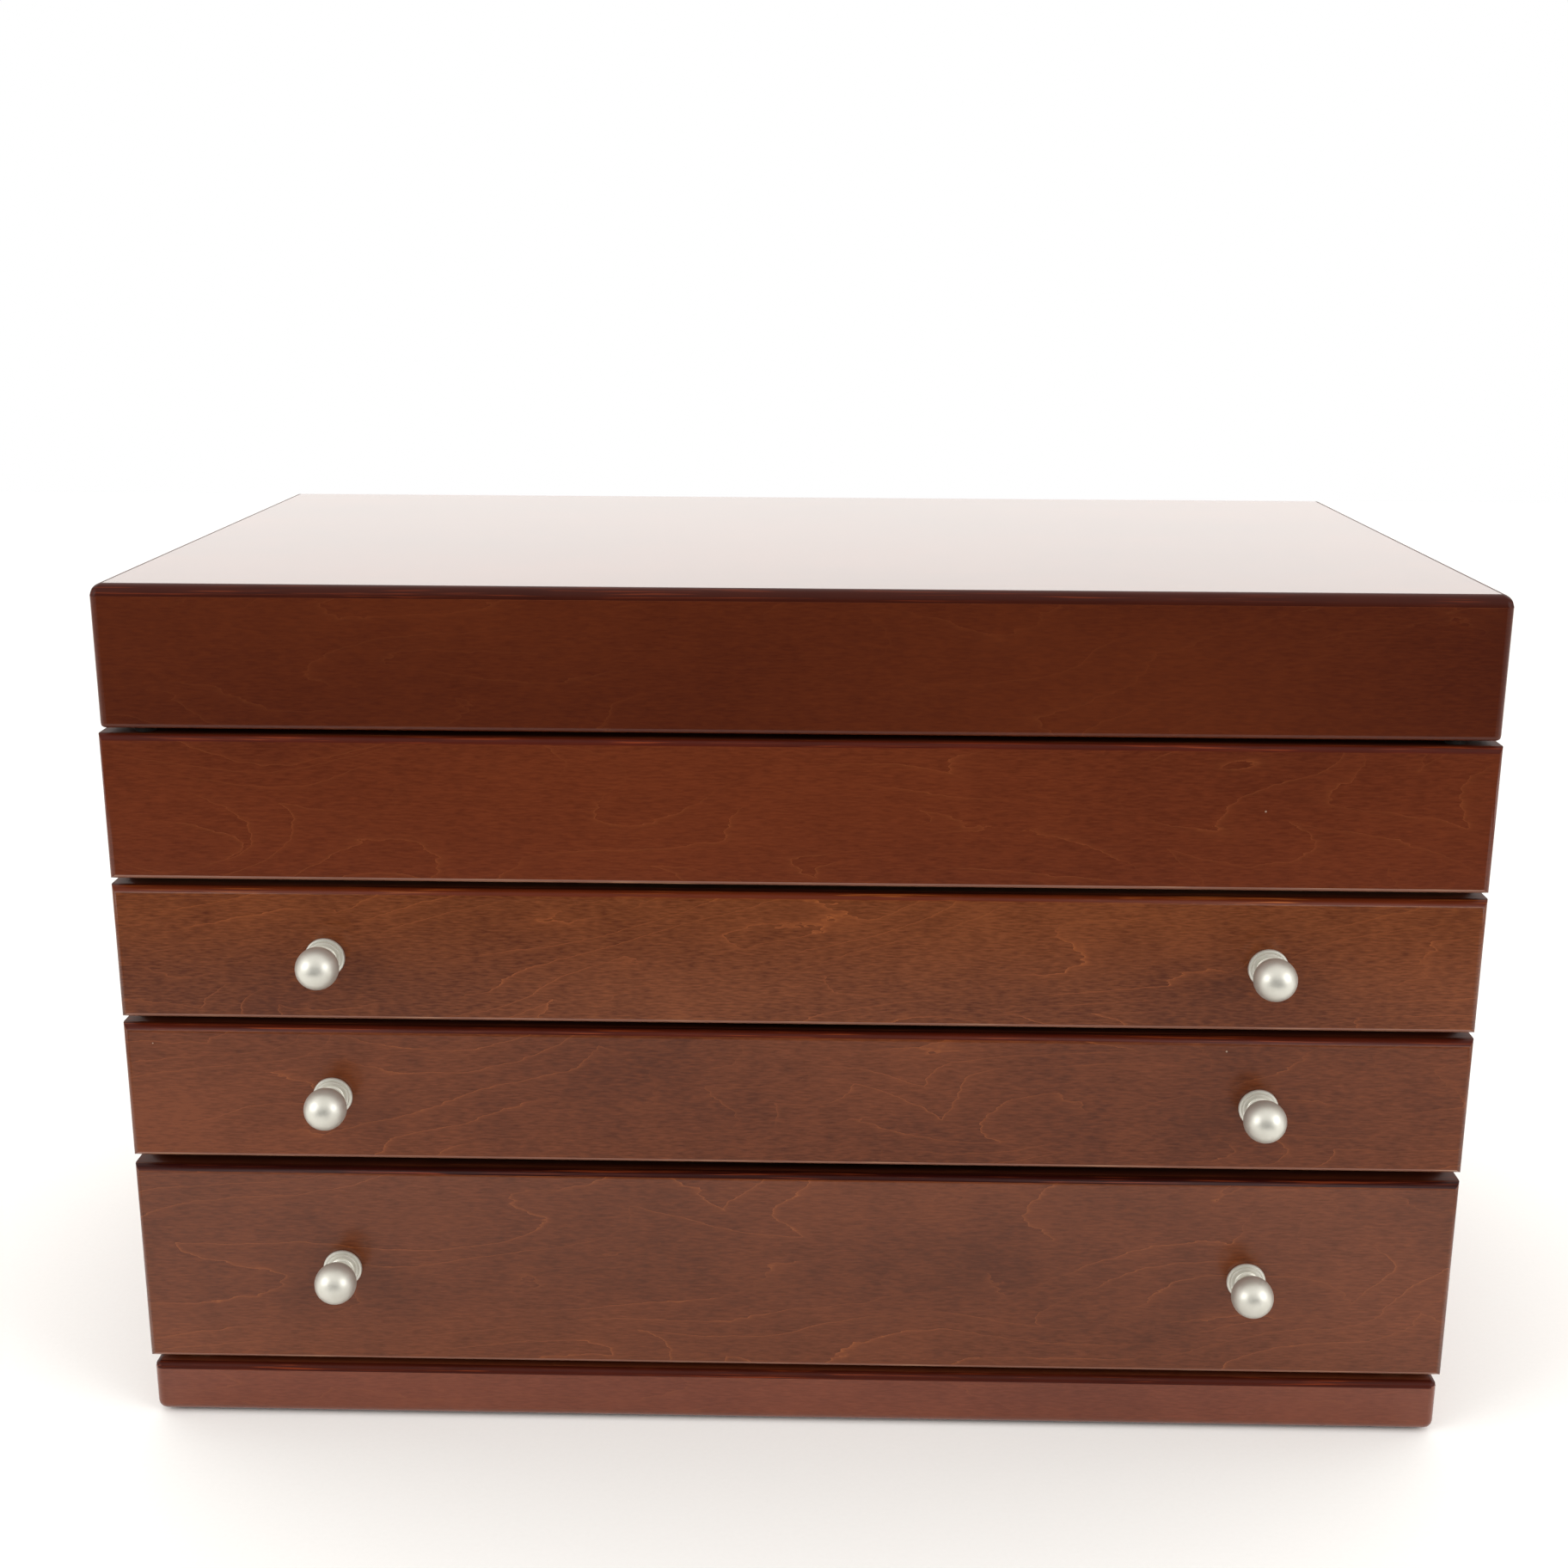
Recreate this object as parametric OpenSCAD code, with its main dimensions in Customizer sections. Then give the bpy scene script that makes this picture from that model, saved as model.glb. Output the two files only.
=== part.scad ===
// Jewellery chest: a hinged lid over a lined top compartment, and three drawers below it.
// Millimetres. The origin is the middle of the footprint, on the table. Front is -Y and up is +Z.

/* [Chest] */
// Width across the drawer fronts
front_w = 406.4; // [320:0.2:500]
// Depth from the face of the fronts to the back of the case
depth = 228.6; // [190:0.2:300]
// How far the case, lid and base stand in from each end of the drawer fronts
case_inset = 0.7; // [0:0.1:3]

/* [Levels] */
// Thickness of the felt under the base
felt_t = 1; // [0.6:0.1:2]
// Height of the base board
base_h = 17; // [12:0.5:30]
// Height of the lower drawer front
lower_h = 66.1; // [50:0.1:100]
// Height of the middle drawer front
middle_h = 43.5; // [36:0.1:70]
// Height of the upper drawer front
upper_h = 41.8; // [36:0.1:70]
// Height of the fixed band in front of the top compartment
band_h = 44.2; // [38:0.1:80]
// Height of the lid
lid_h = 42.1; // [36:0.1:70]
// Gap between the base board and the lower front
base_gap = 2.4; // [1.6:0.1:4]
// Gap between the lower and middle fronts
middle_gap = 3; // [1.6:0.1:3.6]
// Gap between the middle and upper fronts
upper_gap = 2; // [1.6:0.1:3.6]
// Gap between the upper front and the fixed band
band_gap = 1.9; // [1.6:0.1:3.6]
// Gap between the rim of the case and the lid
lid_gap = 1.7; // [1.5:0.1:2]

/* [Boards] */
// Thickness of the drawer fronts
front_t = 12; // [10:0.5:18]
// Thickness of the case sides, the case back and the lid rails
case_t = 9; // [8:0.5:14]
// Thickness of the dust panels and of the top compartment's floor
panel_t = 4; // [3:0.5:5]
// Thickness of the lid's top, in the middle
lid_top_t = 9; // [7:0.5:14]
// Thickness of the drawer sides and backs
box_t = 6; // [5:0.5:9]
// Thickness of the drawer bottoms
bottom_t = 3; // [2.5:0.5:5]
// How far a drawer bottom stands above the lower edge of its sides
bottom_up = 3; // [2:0.5:6]
// Depth of the case's grooves and rebates
case_groove = 4; // [3:0.5:5]
// Depth of the grooves that hold a drawer bottom
box_groove = 2.5; // [2:0.5:3]

/* [Clearances] */
// Gap under a drawer, above the board that it runs on
run_gap = 0.4; // [0.3:0.05:1]
// Gap beside a drawer
side_gap = 0.5; // [0.3:0.05:1]
// Gap over a drawer's sides
head_gap = 2; // [1:0.5:4]
// Gap behind a drawer
rear_gap = 2; // [1:0.5:10]
// Gap between a closed front and the case behind it
front_gap = 0.4; // [0.3:0.05:1]

/* [Edges] */
// Radius along the top edge of a front
front_top_r = 2.8; // [1.5:0.1:4]
// Radius along the lower edge of a front
front_low_r = 1.4; // [0.5:0.1:2]
// Radius at the ends of a front
front_end_r = 2; // [1:0.1:4]
// Radius along the lid's top edge, which is also the thickness of the top's lip
lid_top_r = 3.5; // [2:0.1:5]
// Radius along the lid's lower edge
lid_low_r = 1.4; // [0.5:0.1:2]
// Radius at the upright corners of the lid and the case
corner_r = 2.5; // [1:0.1:3]
// Radius along the base board's lower edge and at its upright corners
base_low_r = 3; // [1.5:0.1:5]
// Radius along the base board's top edge
base_top_r = 2; // [1:0.1:4]

/* [Lining] */
// Thickness of the flocked lining
lining_t = 1.5; // [1:0.1:2.5]
// Thickness of a divider
divider_t = 3; // [2.5:0.5:5]
// How far the linings stay below the rim around them, and the dividers below the linings
lining_down = 2.5; // [1:0.5:6]
// Gap between a divider and the divider that it meets
divider_gap = 0.1; // [0.05:0.05:0.5]
// Width of the ring section in the top compartment
ring_w = 134; // [100:1:180]
// Number of ring rolls
roll_count = 12; // [8:1:16]
// Height of a ring roll
roll_h = 24; // [20:1:30]
// Gap between neighbouring ring rolls
roll_gap = 0.7; // [0.4:0.1:1.5]
// Number of compartments on each side of the rings
side_cells = 3; // [1:1:4]
// Number of columns in the upper drawer
upper_cols = 5; // [2:1:7]
// Number of columns in the middle drawer
middle_cols = 3; // [2:1:5]

/* [Mirror] */
// Thickness of the mirror
mirror_t = 3; // [2:0.5:4]
// Width of the cloth-covered board around the mirror
frame_w = 26; // [15:1:50]
// Thickness of that board
frame_t = 5.5; // [4.5:0.5:8]
// How far the board laps over the mirror's edge
frame_lap = 4; // [2:0.5:8]
// Gap around the mirror and around its board
frame_gap = 0.5; // [0.3:0.1:1]
// Width of the mirror's bevel
bevel_w = 12; // [6:1:20]

/* [Knobs] */
// Distance of each knob from the middle of the front
knob_x = 140; // [100:1:160]
// How far the knobs sit below the middle of a front
knob_drop = 0.6; // [0:0.1:4]
// Diameter of the ball
ball_d = 12.7; // [10:0.1:16]
// Distance from the face of the front to the middle of the ball
ball_out = 10.45; // [9:0.05:12]
// Diameter of the knob's foot
foot_d = 12; // [10:0.1:16]
// Thickness of the knob's foot
foot_t = 2.3; // [1.8:0.1:3]
// Diameter of the neck between foot and ball
neck_d = 6.6; // [5:0.1:8]
// Diameter of the knob's screw
screw_d = 3.8; // [3:0.1:4]
// Diameter of the screw's head
screw_head_d = 7; // [6:0.1:8]
// Depth of the recess behind the front that hides the screw's head
screw_recess = 3; // [2.5:0.1:4]

/* [Hinges] */
// Distance of each hinge from the middle of the back
hinge_x = 125; // [90:1:160]
// Length of a hinge
hinge_len = 38; // [30:1:50]
// Width of a leaf, from its front edge to the face of the back
leaf_w = 8; // [7:0.5:8]
// Thickness of a leaf
leaf_t = 1; // [0.8:0.1:1.2]
// Gap between the closed leaves
leaf_gap = 0.4; // [0.3:0.1:0.6]
// Radius of the knuckle
knuckle_r = 2.25; // [2:0.05:3]
// Radius of the pin
pin_r = 1.25; // [1:0.05:1.5]
// How far the lid opens, in degrees
open_angle = 95; // [92:1:100]

/* [Hidden] */
$fn = 48;

FACE_WOOD = "#6b3422";
EDGE_WOOD = "#5a2418";
INNER_WOOD = "#b98a5c";
FELT = "#1f1d1c";
VELVET = "#b7a591";
NICKEL = "#b9b4ab";
STEEL = "#a9a69f";
GLASS = "#c8d2d6";

felt_in = 1; // how far the felt stays inside the flat of the base board

// Plan
case_w = front_w - 2 * case_inset;
inner_w = case_w - 2 * case_t;
face_y = -depth / 2;
case_y = face_y + front_t + front_gap; // front edges of the case sides
rear_y = depth / 2;
inner_rear_y = rear_y - case_t;
inner_d = inner_rear_y - case_y;

// Levels, from the table up
base_top = felt_t + base_h;
lower_z = base_top + base_gap;
middle_z = lower_z + lower_h + middle_gap;
upper_z = middle_z + middle_h + upper_gap;
band_z = upper_z + upper_h + band_gap;
rim_z = band_z + band_h;
lid_z = rim_z + lid_gap;
top_z = lid_z + lid_h;
lower_panel_z = middle_z - (middle_gap + panel_t) / 2;
upper_panel_z = upper_z - (upper_gap + panel_t) / 2;
floor_z = band_z - band_gap;
floor_top = floor_z + panel_t;

// Each drawer: underside of its front, height of its front, underside and top of its sides
upper = [upper_z, upper_h, upper_panel_z + panel_t + run_gap, floor_z - head_gap];
middle = [middle_z, middle_h, lower_panel_z + panel_t + run_gap, upper_panel_z - head_gap];
lower = [lower_z, lower_h, base_top + run_gap, lower_panel_z - head_gap];

// Drawers
box_w = inner_w - 2 * side_gap;
box_y = face_y + front_t; // back of a closed front
box_rear = inner_rear_y - rear_gap;
box_joint = case_groove; // how far a drawer side is let into the front
cell_w = box_w - 2 * box_t - 2 * lining_t;
cell_y = box_y + lining_t;
cell_d = box_rear - box_t - lining_t - cell_y;

// Top compartment
tray_w = inner_w - 2 * lining_t;
tray_y = case_y + lining_t;
tray_d = inner_rear_y - lining_t - tray_y;
tray_z = floor_top + lining_t;
wing_w = (tray_w - ring_w) / 2 - divider_t;
roll_pitch = tray_d / roll_count;
roll_low_r = 2; // radius along a roll's lower edges
roll_flat = 0.1; // half the width of the flat along a roll's top

// Lid
lid_inner_d = depth - 2 * case_t;
lid_under = top_z - lid_top_t; // underside of the lid's top
frame_out_w = inner_w - 2 * lining_t - 2 * frame_gap;
frame_out_d = lid_inner_d - 2 * lining_t - 2 * frame_gap;
sight_w = frame_out_w - 2 * frame_w;
sight_d = frame_out_d - 2 * frame_w;
frame_z = lid_under - lining_t - frame_t;
bevel_drop = 0.8; // how much thinner the mirror is at the outer edge of its bevel
bumper_d = 8;
bumper_gap = 0.05;
bumper_end = 12; // from the end of the lid to the middle of a bumper
bumper_back = 1; // how far a bumper stands behind the middle of the rail
bumper_margin = 3; // how much narrower than the rail a bumper is at most

// Knob screws
screw_gap = 0.05;
screw_hole_d = screw_d + 0.7;
screw_recess_d = screw_head_d + 1;
screw_head_h = 2.4;
screw_in_knob = 8.5;
screw_cross = [4, 0.8, 1.2]; // length, width and depth of each slot in the head
knob_bore = 9;
step_out = 0.9; // how far the step on the foot stands out from the neck, and how high
step_up = 0.6;

// Hinges
knuckle_out = 0.1; // gap between the knuckles and the face of the back
hinge_y = rear_y + knuckle_r + knuckle_out;
hinge_z = rim_z + lid_gap / 2;
knuckles = 5;
knuckle_gap = 0.3;
knuckle_len = (hinge_len - (knuckles - 1) * knuckle_gap) / knuckles;
pin_gap = 0.05;
pin_head_r = 1.8;
pin_head_h = 0.7;
tail_in = pin_r + 0.5; // from the axis to the inner and outer edges of the stop
tail_out = 4.6;
tail_gap = 0.1;
tail_t = 1.1;
leaf_hole_r = 1.1;
countersink_gap = 0.1;
countersink_over = 0.01;
wood_screw_r = 0.9;
wood_screw_head_r = 1.9;
wood_screw_len = 9;
wood_screw_cross = [2.2, 0.5, 0.5]; // length, width and depth of each slot in the head
wood_screw_in = 4.4; // from the face of the back to the line of the screws
pilot_gap = 0.05;
pilot_deeper = 0.5;
wood_screw_y = rear_y - wood_screw_in;
wood_screw_x = [-13, 0, 13];

over = 1; // how far a cutter runs past what it cuts

// ---- Shared shapes ----

// What is cut away to leave a corner of radius r at the origin
module corner_waste(r) {
    difference() {
        translate([-over, -over]) square(r + over);
        translate([r, r]) circle(r);
    }
}

// A rectangle from the origin, with a radius for each corner, anticlockwise from the lower left
module eased_square(w, h, r) {
    difference() {
        square([w, h]);
        for (i = [0:3])
            if (r[i] > 0)
                translate([i == 1 || i == 2 ? w : 0, i > 1 ? h : 0]) rotate(90 * i) corner_waste(r[i]);
    }
}

// An outline drawn in Y and Z, run along X from x to x + w
module along_x(x, w) {
    translate([x, 0, 0]) rotate([90, 0, 90]) linear_extrude(w) children();
}

// A board centred on X, whose front face has eased edges
module front_board(w, t, h, low_r, top_r, end_r) {
    intersection() {
        along_x(-w / 2, w) eased_square(t, h, [low_r, 0, 0, top_r]);
        translate([-w / 2, 0, 0]) linear_extrude(h) eased_square(w, t, [end_r, end_r, 0, 0]);
    }
}

// A block centred on X and Y, eased on every outer edge
module eased_block(w, d, h, plan_r, low_r, top_r) {
    edge_r = [low_r, low_r, top_r, top_r];
    intersection() {
        translate([-w / 2, -d / 2, 0]) linear_extrude(h)
            eased_square(w, d, [plan_r, plan_r, plan_r, plan_r]);
        translate([0, -d / 2, 0]) along_x(-w / 2, w) eased_square(d, h, edge_r);
        translate([-w / 2, d / 2, 0]) rotate([90, 0, 0]) linear_extrude(d) eased_square(w, h, edge_r);
    }
}

// A box centred on X, from y and z
module slab(w, y, d, z, h) {
    translate([-w / 2, y, z]) cube([w, d, h]);
}

// An open-topped lining, centred on X, from y and z
module lining(w, y, d, z, h) {
    difference() {
        slab(w, y, d, z, h);
        slab(w - 2 * lining_t, y + lining_t, d - 2 * lining_t, z + lining_t, h);
    }
}

// Shows its child on the left or the right, drawn for the right
module on_side(side) {
    if (side < 0) mirror([1, 0, 0]) children();
    else children();
}

// ---- Case ----

module base_board() {
    color(FACE_WOOD) translate([0, 0, felt_t])
        eased_block(case_w, depth, base_h, base_low_r, base_low_r, base_top_r);
}

module base_felt() {
    inset = base_low_r + felt_in;
    color(FELT) slab(case_w - 2 * inset, face_y + inset, depth - 2 * inset, 0, felt_t);
}

// A case side, with grooves for the two dust panels and the floor, and a rebate for the back
module case_side(side) {
    h = rim_z - base_top;
    d = rear_y - case_y;
    color(FACE_WOOD) on_side(side) difference() {
        translate([case_w / 2 - case_t, case_y, base_top]) linear_extrude(h)
            eased_square(case_t, d, [0, 0, corner_r, 0]);
        for (z = [lower_panel_z, upper_panel_z, floor_z])
            translate([inner_w / 2 - over, case_y - over, z])
                cube([case_groove + over, inner_d + over, panel_t]);
        translate([inner_w / 2 - over, inner_rear_y, base_top - over])
            cube([case_groove + over, case_t + over, h + 2 * over]);
    }
}

module back_panel() {
    color(FACE_WOOD) difference() {
        slab(inner_w + 2 * case_groove, inner_rear_y, case_t, base_top, rim_z - base_top);
        for (s = [-1, 1]) {
            leaf_recess(s * hinge_x, rim_z, -1);
            pilot_holes(s * hinge_x, rim_z, -1);
        }
    }
}

module false_front() {
    t = front_t + front_gap;
    color(FACE_WOOD) difference() {
        translate([0, face_y, band_z])
            front_board(front_w, t, band_h, front_low_r, front_top_r, front_end_r);
        // rebate for the floor's front edge
        slab(inner_w + 2 * case_groove, case_y - case_groove, case_groove + over, band_z - over,
             floor_top - band_z + over);
    }
}

module tray_floor() {
    color(INNER_WOOD) slab(inner_w + 2 * case_groove, case_y - case_groove, inner_d + case_groove,
                           floor_z, panel_t);
}

module dust_panel(z) {
    color(INNER_WOOD) slab(inner_w + 2 * case_groove, case_y, inner_d, z, panel_t);
}

// ---- Top compartment ----

module tray_lining() {
    color(VELVET) lining(inner_w, case_y, inner_d, floor_top, rim_z - lining_down - floor_top);
}

// On each side, a long board beside the rings and short boards from it to the end of the case
module tray_dividers() {
    h = rim_z - 2 * lining_down - tray_z;
    pitch = (tray_d + divider_t) / side_cells;
    color(VELVET) for (s = [-1, 1]) on_side(s) {
        translate([ring_w / 2, tray_y, tray_z]) cube([divider_t, tray_d, h]);
        for (i = [1:1:side_cells - 1])
            translate([ring_w / 2 + divider_t + divider_gap, tray_y + i * pitch - divider_t, tray_z])
                cube([wing_w - divider_gap, divider_t, h]);
    }
}

module ring_rolls() {
    w = roll_pitch - roll_gap;
    top_r = w / 2 - roll_flat;
    color(VELVET) for (i = [0:roll_count - 1])
        translate([0, tray_y + (i + 0.5) * roll_pitch, tray_z])
            along_x(-ring_w / 2 + roll_gap, ring_w - 2 * roll_gap)
                translate([-w / 2, 0]) eased_square(w, roll_h, [roll_low_r, roll_low_r, top_r, top_r]);
}

// ---- Lid ----

module lid_block() {
    translate([0, 0, lid_z]) eased_block(case_w, depth, lid_h, corner_r, lid_low_r, lid_top_r);
}

module lid_top() {
    color(EDGE_WOOD) union() {
        intersection() {
            lid_block();
            slab(case_w + 2 * over, face_y - over, depth + 2 * over, top_z - lid_top_r,
                 lid_top_r + over);
        }
        slab(inner_w, -lid_inner_d / 2, lid_inner_d, lid_under, lid_top_t - lid_top_r);
    }
}

// One mitred rail of the lid, as the part of the lid inside an outline drawn in plan
module lid_rail(points) {
    intersection() {
        lid_block();
        translate([0, 0, lid_z - over]) linear_extrude(lid_h - lid_top_r + over) polygon(points);
    }
}

// A front or back rail, on the side of the given sign
module long_rail(side) {
    y_out = side * depth / 2;
    y_in = side * lid_inner_d / 2;
    lid_rail([[-case_w / 2, y_out], [case_w / 2, y_out], [inner_w / 2, y_in], [-inner_w / 2, y_in]]);
}

// A left or right rail
module short_rail(side) {
    x_out = side * case_w / 2;
    x_in = side * inner_w / 2;
    lid_rail([[x_out, -depth / 2], [x_out, depth / 2], [x_in, lid_inner_d / 2], [x_in, -lid_inner_d / 2]]);
}

module lid_front_rail() {
    color(FACE_WOOD) long_rail(-1);
}

module lid_back_rail() {
    color(FACE_WOOD) difference() {
        long_rail(1);
        for (s = [-1, 1]) {
            leaf_recess(s * hinge_x, lid_z, 1);
            pilot_holes(s * hinge_x, lid_z, 1);
        }
    }
}

module lid_left_rail() {
    color(FACE_WOOD) short_rail(-1);
}

module lid_right_rail() {
    color(FACE_WOOD) short_rail(1);
}

module lid_lining() {
    low_z = lid_z + lining_down;
    color(VELVET) difference() {
        slab(inner_w, -lid_inner_d / 2, lid_inner_d, low_z, lid_under - low_z);
        slab(inner_w - 2 * lining_t, -lid_inner_d / 2 + lining_t, lid_inner_d - 2 * lining_t,
             low_z - over, lid_under - lining_t - low_z + over);
    }
}

// The glass, with a bevel on the side that is seen
module mirror_glass() {
    w = sight_w + 2 * frame_lap;
    d = sight_d + 2 * frame_lap;
    z = lid_under - lining_t - mirror_t;
    slope = atan(bevel_drop / bevel_w);
    color(GLASS) difference() {
        slab(w, -d / 2, d, z, mirror_t);
        for (s = [-1, 1]) {
            translate([0, s * (d / 2 - frame_lap - bevel_w), z]) rotate([s * slope, 0, 0])
                translate([-w / 2 - over, s < 0 ? -d : 0, -mirror_t])
                    cube([w + 2 * over, d, mirror_t]);
            translate([s * (w / 2 - frame_lap - bevel_w), 0, z]) rotate([0, -s * slope, 0])
                translate([s < 0 ? -w : 0, -d / 2 - over, -mirror_t])
                    cube([w, d + 2 * over, mirror_t]);
        }
    }
}

module mirror_frame() {
    mirror_w = sight_w + 2 * frame_lap;
    mirror_d = sight_d + 2 * frame_lap;
    color(VELVET) difference() {
        slab(frame_out_w, -frame_out_d / 2, frame_out_d, frame_z, frame_t);
        slab(sight_w, -sight_d / 2, sight_d, frame_z - over, frame_t + 2 * over);
        slab(mirror_w + 2 * frame_gap, -mirror_d / 2 - frame_gap, mirror_d + 2 * frame_gap,
             frame_z + frame_t - mirror_t - frame_gap, mirror_t + frame_gap + over);
    }
}

module lid_bumpers() {
    color(FELT) for (s = [-1, 1])
        translate([s * (case_w / 2 - bumper_end), face_y + case_t / 2 + bumper_back, rim_z + bumper_gap])
            cylinder(d = min(bumper_d, case_t - bumper_margin), h = lid_gap - bumper_gap);
}

// ---- Hinges ----

// Where a leaf is let into the wood whose edge is at z; up is 1 for the lid and -1 for the case
module leaf_recess(x, z, up) {
    let_in = leaf_t + leaf_gap / 2 - lid_gap / 2;
    translate([x - hinge_len / 2, rear_y - leaf_w, z + (up < 0 ? -let_in : -over)])
        cube([hinge_len, leaf_w + over, let_in + over]);
}

module pilot_holes(x, z, up) {
    depth_in = wood_screw_len + pilot_deeper;
    for (dx = wood_screw_x)
        translate([x + dx, wood_screw_y, z + (up < 0 ? -depth_in : -over)])
            cylinder(r = wood_screw_r + pilot_gap, h = depth_in + over);
}

// Left end of knuckle i, measured from the hinge's left end
function knuckle_x(i) = i * (knuckle_len + knuckle_gap);

// The lower leaf, with the knuckles whose numbers are given, at the origin of the hinge's axis
module leaf(mine, others) {
    difference() {
        union() {
            translate([-hinge_len / 2, rear_y - leaf_w - hinge_y, -leaf_gap / 2 - leaf_t])
                cube([hinge_len, hinge_y - rear_y + leaf_w, leaf_t]);
            for (i = mine)
                translate([-hinge_len / 2 + knuckle_x(i), 0, 0]) rotate([0, 90, 0])
                    cylinder(r = knuckle_r, h = knuckle_len);
        }
        // room for the other leaf's knuckles
        for (i = others)
            translate([-hinge_len / 2 + knuckle_x(i) - knuckle_gap, 0, 0]) rotate([0, 90, 0])
                cylinder(r = knuckle_r + knuckle_gap, h = knuckle_len + 2 * knuckle_gap);
        translate([-hinge_len / 2 - over, 0, 0]) rotate([0, 90, 0])
            cylinder(r = pin_r + pin_gap, h = hinge_len + 2 * over);
        // countersunk screw holes
        for (dx = wood_screw_x)
            translate([dx, wood_screw_y - hinge_y, -leaf_gap / 2 - leaf_t]) {
                translate([0, 0, -over]) cylinder(r = leaf_hole_r, h = leaf_t + 2 * over);
                cylinder(r1 = leaf_hole_r, r2 = wood_screw_head_r + countersink_gap,
                         h = leaf_t + countersink_over);
            }
    }
}

// The stop behind the knuckles: a bar that the same bar on the other leaf meets when the lid is open
module stop_tail(mine) {
    for (i = mine)
        translate([-hinge_len / 2 + knuckle_x(i), tail_in, -tail_gap - tail_t])
            cube([knuckle_len, tail_out - tail_in, tail_t]);
}

module case_leaf(side) {
    color(STEEL) translate([side * hinge_x, hinge_y, hinge_z]) union() {
        leaf([0, 2, 4], [1, 3]);
        stop_tail([0, 2, 4]);
    }
}

module lid_leaf(side) {
    color(STEEL) translate([side * hinge_x, hinge_y, hinge_z]) union() {
        mirror([0, 0, 1]) leaf([1, 3], [0, 2, 4]);
        rotate([open_angle, 0, 0]) mirror([0, 0, 1]) stop_tail([1, 3]);
    }
}

module hinge_pin(side) {
    x = side * hinge_x - hinge_len / 2 - pin_head_h;
    color(STEEL) translate([x, hinge_y, hinge_z]) rotate([0, 90, 0]) {
        cylinder(r = pin_head_r, h = pin_head_h);
        cylinder(r = pin_r, h = hinge_len + 2 * pin_head_h);
        translate([0, 0, hinge_len + pin_head_h]) cylinder(r = pin_head_r, h = pin_head_h);
    }
}

// A countersunk screw whose head is flush with z = 0 and whose point is below it
module wood_screw() {
    difference() {
        union() {
            translate([0, 0, -leaf_t]) cylinder(r1 = wood_screw_r, r2 = wood_screw_head_r, h = leaf_t);
            translate([0, 0, -wood_screw_len]) cylinder(r = wood_screw_r, h = wood_screw_len - leaf_t / 2);
        }
        for (a = [0, 90])
            rotate(a) translate([-wood_screw_cross[0] / 2, -wood_screw_cross[1] / 2, -wood_screw_cross[2]])
                cube([wood_screw_cross[0], wood_screw_cross[1], 2 * wood_screw_cross[2]]);
    }
}

module case_hinge_screws() {
    color(STEEL) for (s = [-1, 1]) for (dx = wood_screw_x)
        translate([s * hinge_x + dx, wood_screw_y, hinge_z - leaf_gap / 2]) wood_screw();
}

module lid_hinge_screws() {
    color(STEEL) for (s = [-1, 1]) for (dx = wood_screw_x)
        translate([s * hinge_x + dx, wood_screw_y, hinge_z + leaf_gap / 2]) mirror([0, 0, 1]) wood_screw();
}

// ---- Drawers ----

// Height of a drawer's knobs
function knob_z(drawer) = drawer[0] + drawer[1] / 2 - knob_drop;

// Underside of a drawer's bottom board
function bottom_z(drawer) = drawer[2] + bottom_up;

// Top of a drawer's bottom board, where its back and lining stand
function bed_z(drawer) = bottom_z(drawer) + bottom_t;

module drawer_front(drawer) {
    z = drawer[0];
    color(FACE_WOOD) difference() {
        translate([0, face_y, z])
            front_board(front_w, front_t, drawer[1], front_low_r, front_top_r, front_end_r);
        // housings for the sides
        for (s = [-1, 1]) on_side(s)
            translate([box_w / 2 - box_t, box_y - box_joint, drawer[2]])
                cube([box_t, box_joint + over, drawer[3] - drawer[2]]);
        // groove for the bottom
        slab(box_w - 2 * box_t + 2 * over, box_y - box_groove, box_groove + over, bottom_z(drawer),
             bottom_t);
        // knob screws
        for (s = [-1, 1])
            translate([s * knob_x, box_y, knob_z(drawer)]) rotate([90, 0, 0]) {
                translate([0, 0, -over]) cylinder(d = screw_recess_d, h = screw_recess + over);
                cylinder(d = screw_hole_d, h = front_t + over);
            }
    }
}

module drawer_side(drawer, side) {
    d = box_rear - box_y + box_joint;
    color(INNER_WOOD) on_side(side) difference() {
        translate([box_w / 2 - box_t, box_y - box_joint, drawer[2]])
            cube([box_t, d, drawer[3] - drawer[2]]);
        translate([box_w / 2 - box_t - over, box_y - box_joint - over, bottom_z(drawer)])
            cube([box_groove + over, d + 2 * over, bottom_t]);
    }
}

module drawer_back(drawer) {
    z = bed_z(drawer);
    color(INNER_WOOD) slab(box_w - 2 * box_t, box_rear - box_t, box_t, z, drawer[3] - z);
}

module drawer_bottom(drawer) {
    color(INNER_WOOD) slab(box_w - 2 * box_t + 2 * box_groove, box_y - box_groove,
                           box_rear - box_y + box_groove, bottom_z(drawer), bottom_t);
}

module drawer_lining(drawer) {
    color(VELVET) lining(box_w - 2 * box_t, box_y, box_rear - box_t - box_y, bed_z(drawer),
                         drawer[3] - lining_down - bed_z(drawer));
}

// Upright boards that part a drawer into columns, and across the middle if it has two rows
module drawer_dividers(drawer, cols, rows) {
    z = bed_z(drawer) + lining_t;
    h = drawer[3] - 2 * lining_down - z;
    pitch = (cell_w + divider_t) / cols;
    row_d = rows > 1 ? (cell_d - divider_t) / 2 : cell_d;
    gap = rows > 1 ? divider_gap : 0;
    color(VELVET) {
        if (rows > 1) slab(cell_w, cell_y + row_d, divider_t, z, h);
        for (i = [1:cols - 1]) for (j = [0:rows - 1])
            translate([-cell_w / 2 + i * pitch - divider_t, cell_y + j * (row_d + divider_t + gap), z])
                cube([divider_t, row_d - gap, h]);
    }
}

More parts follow.
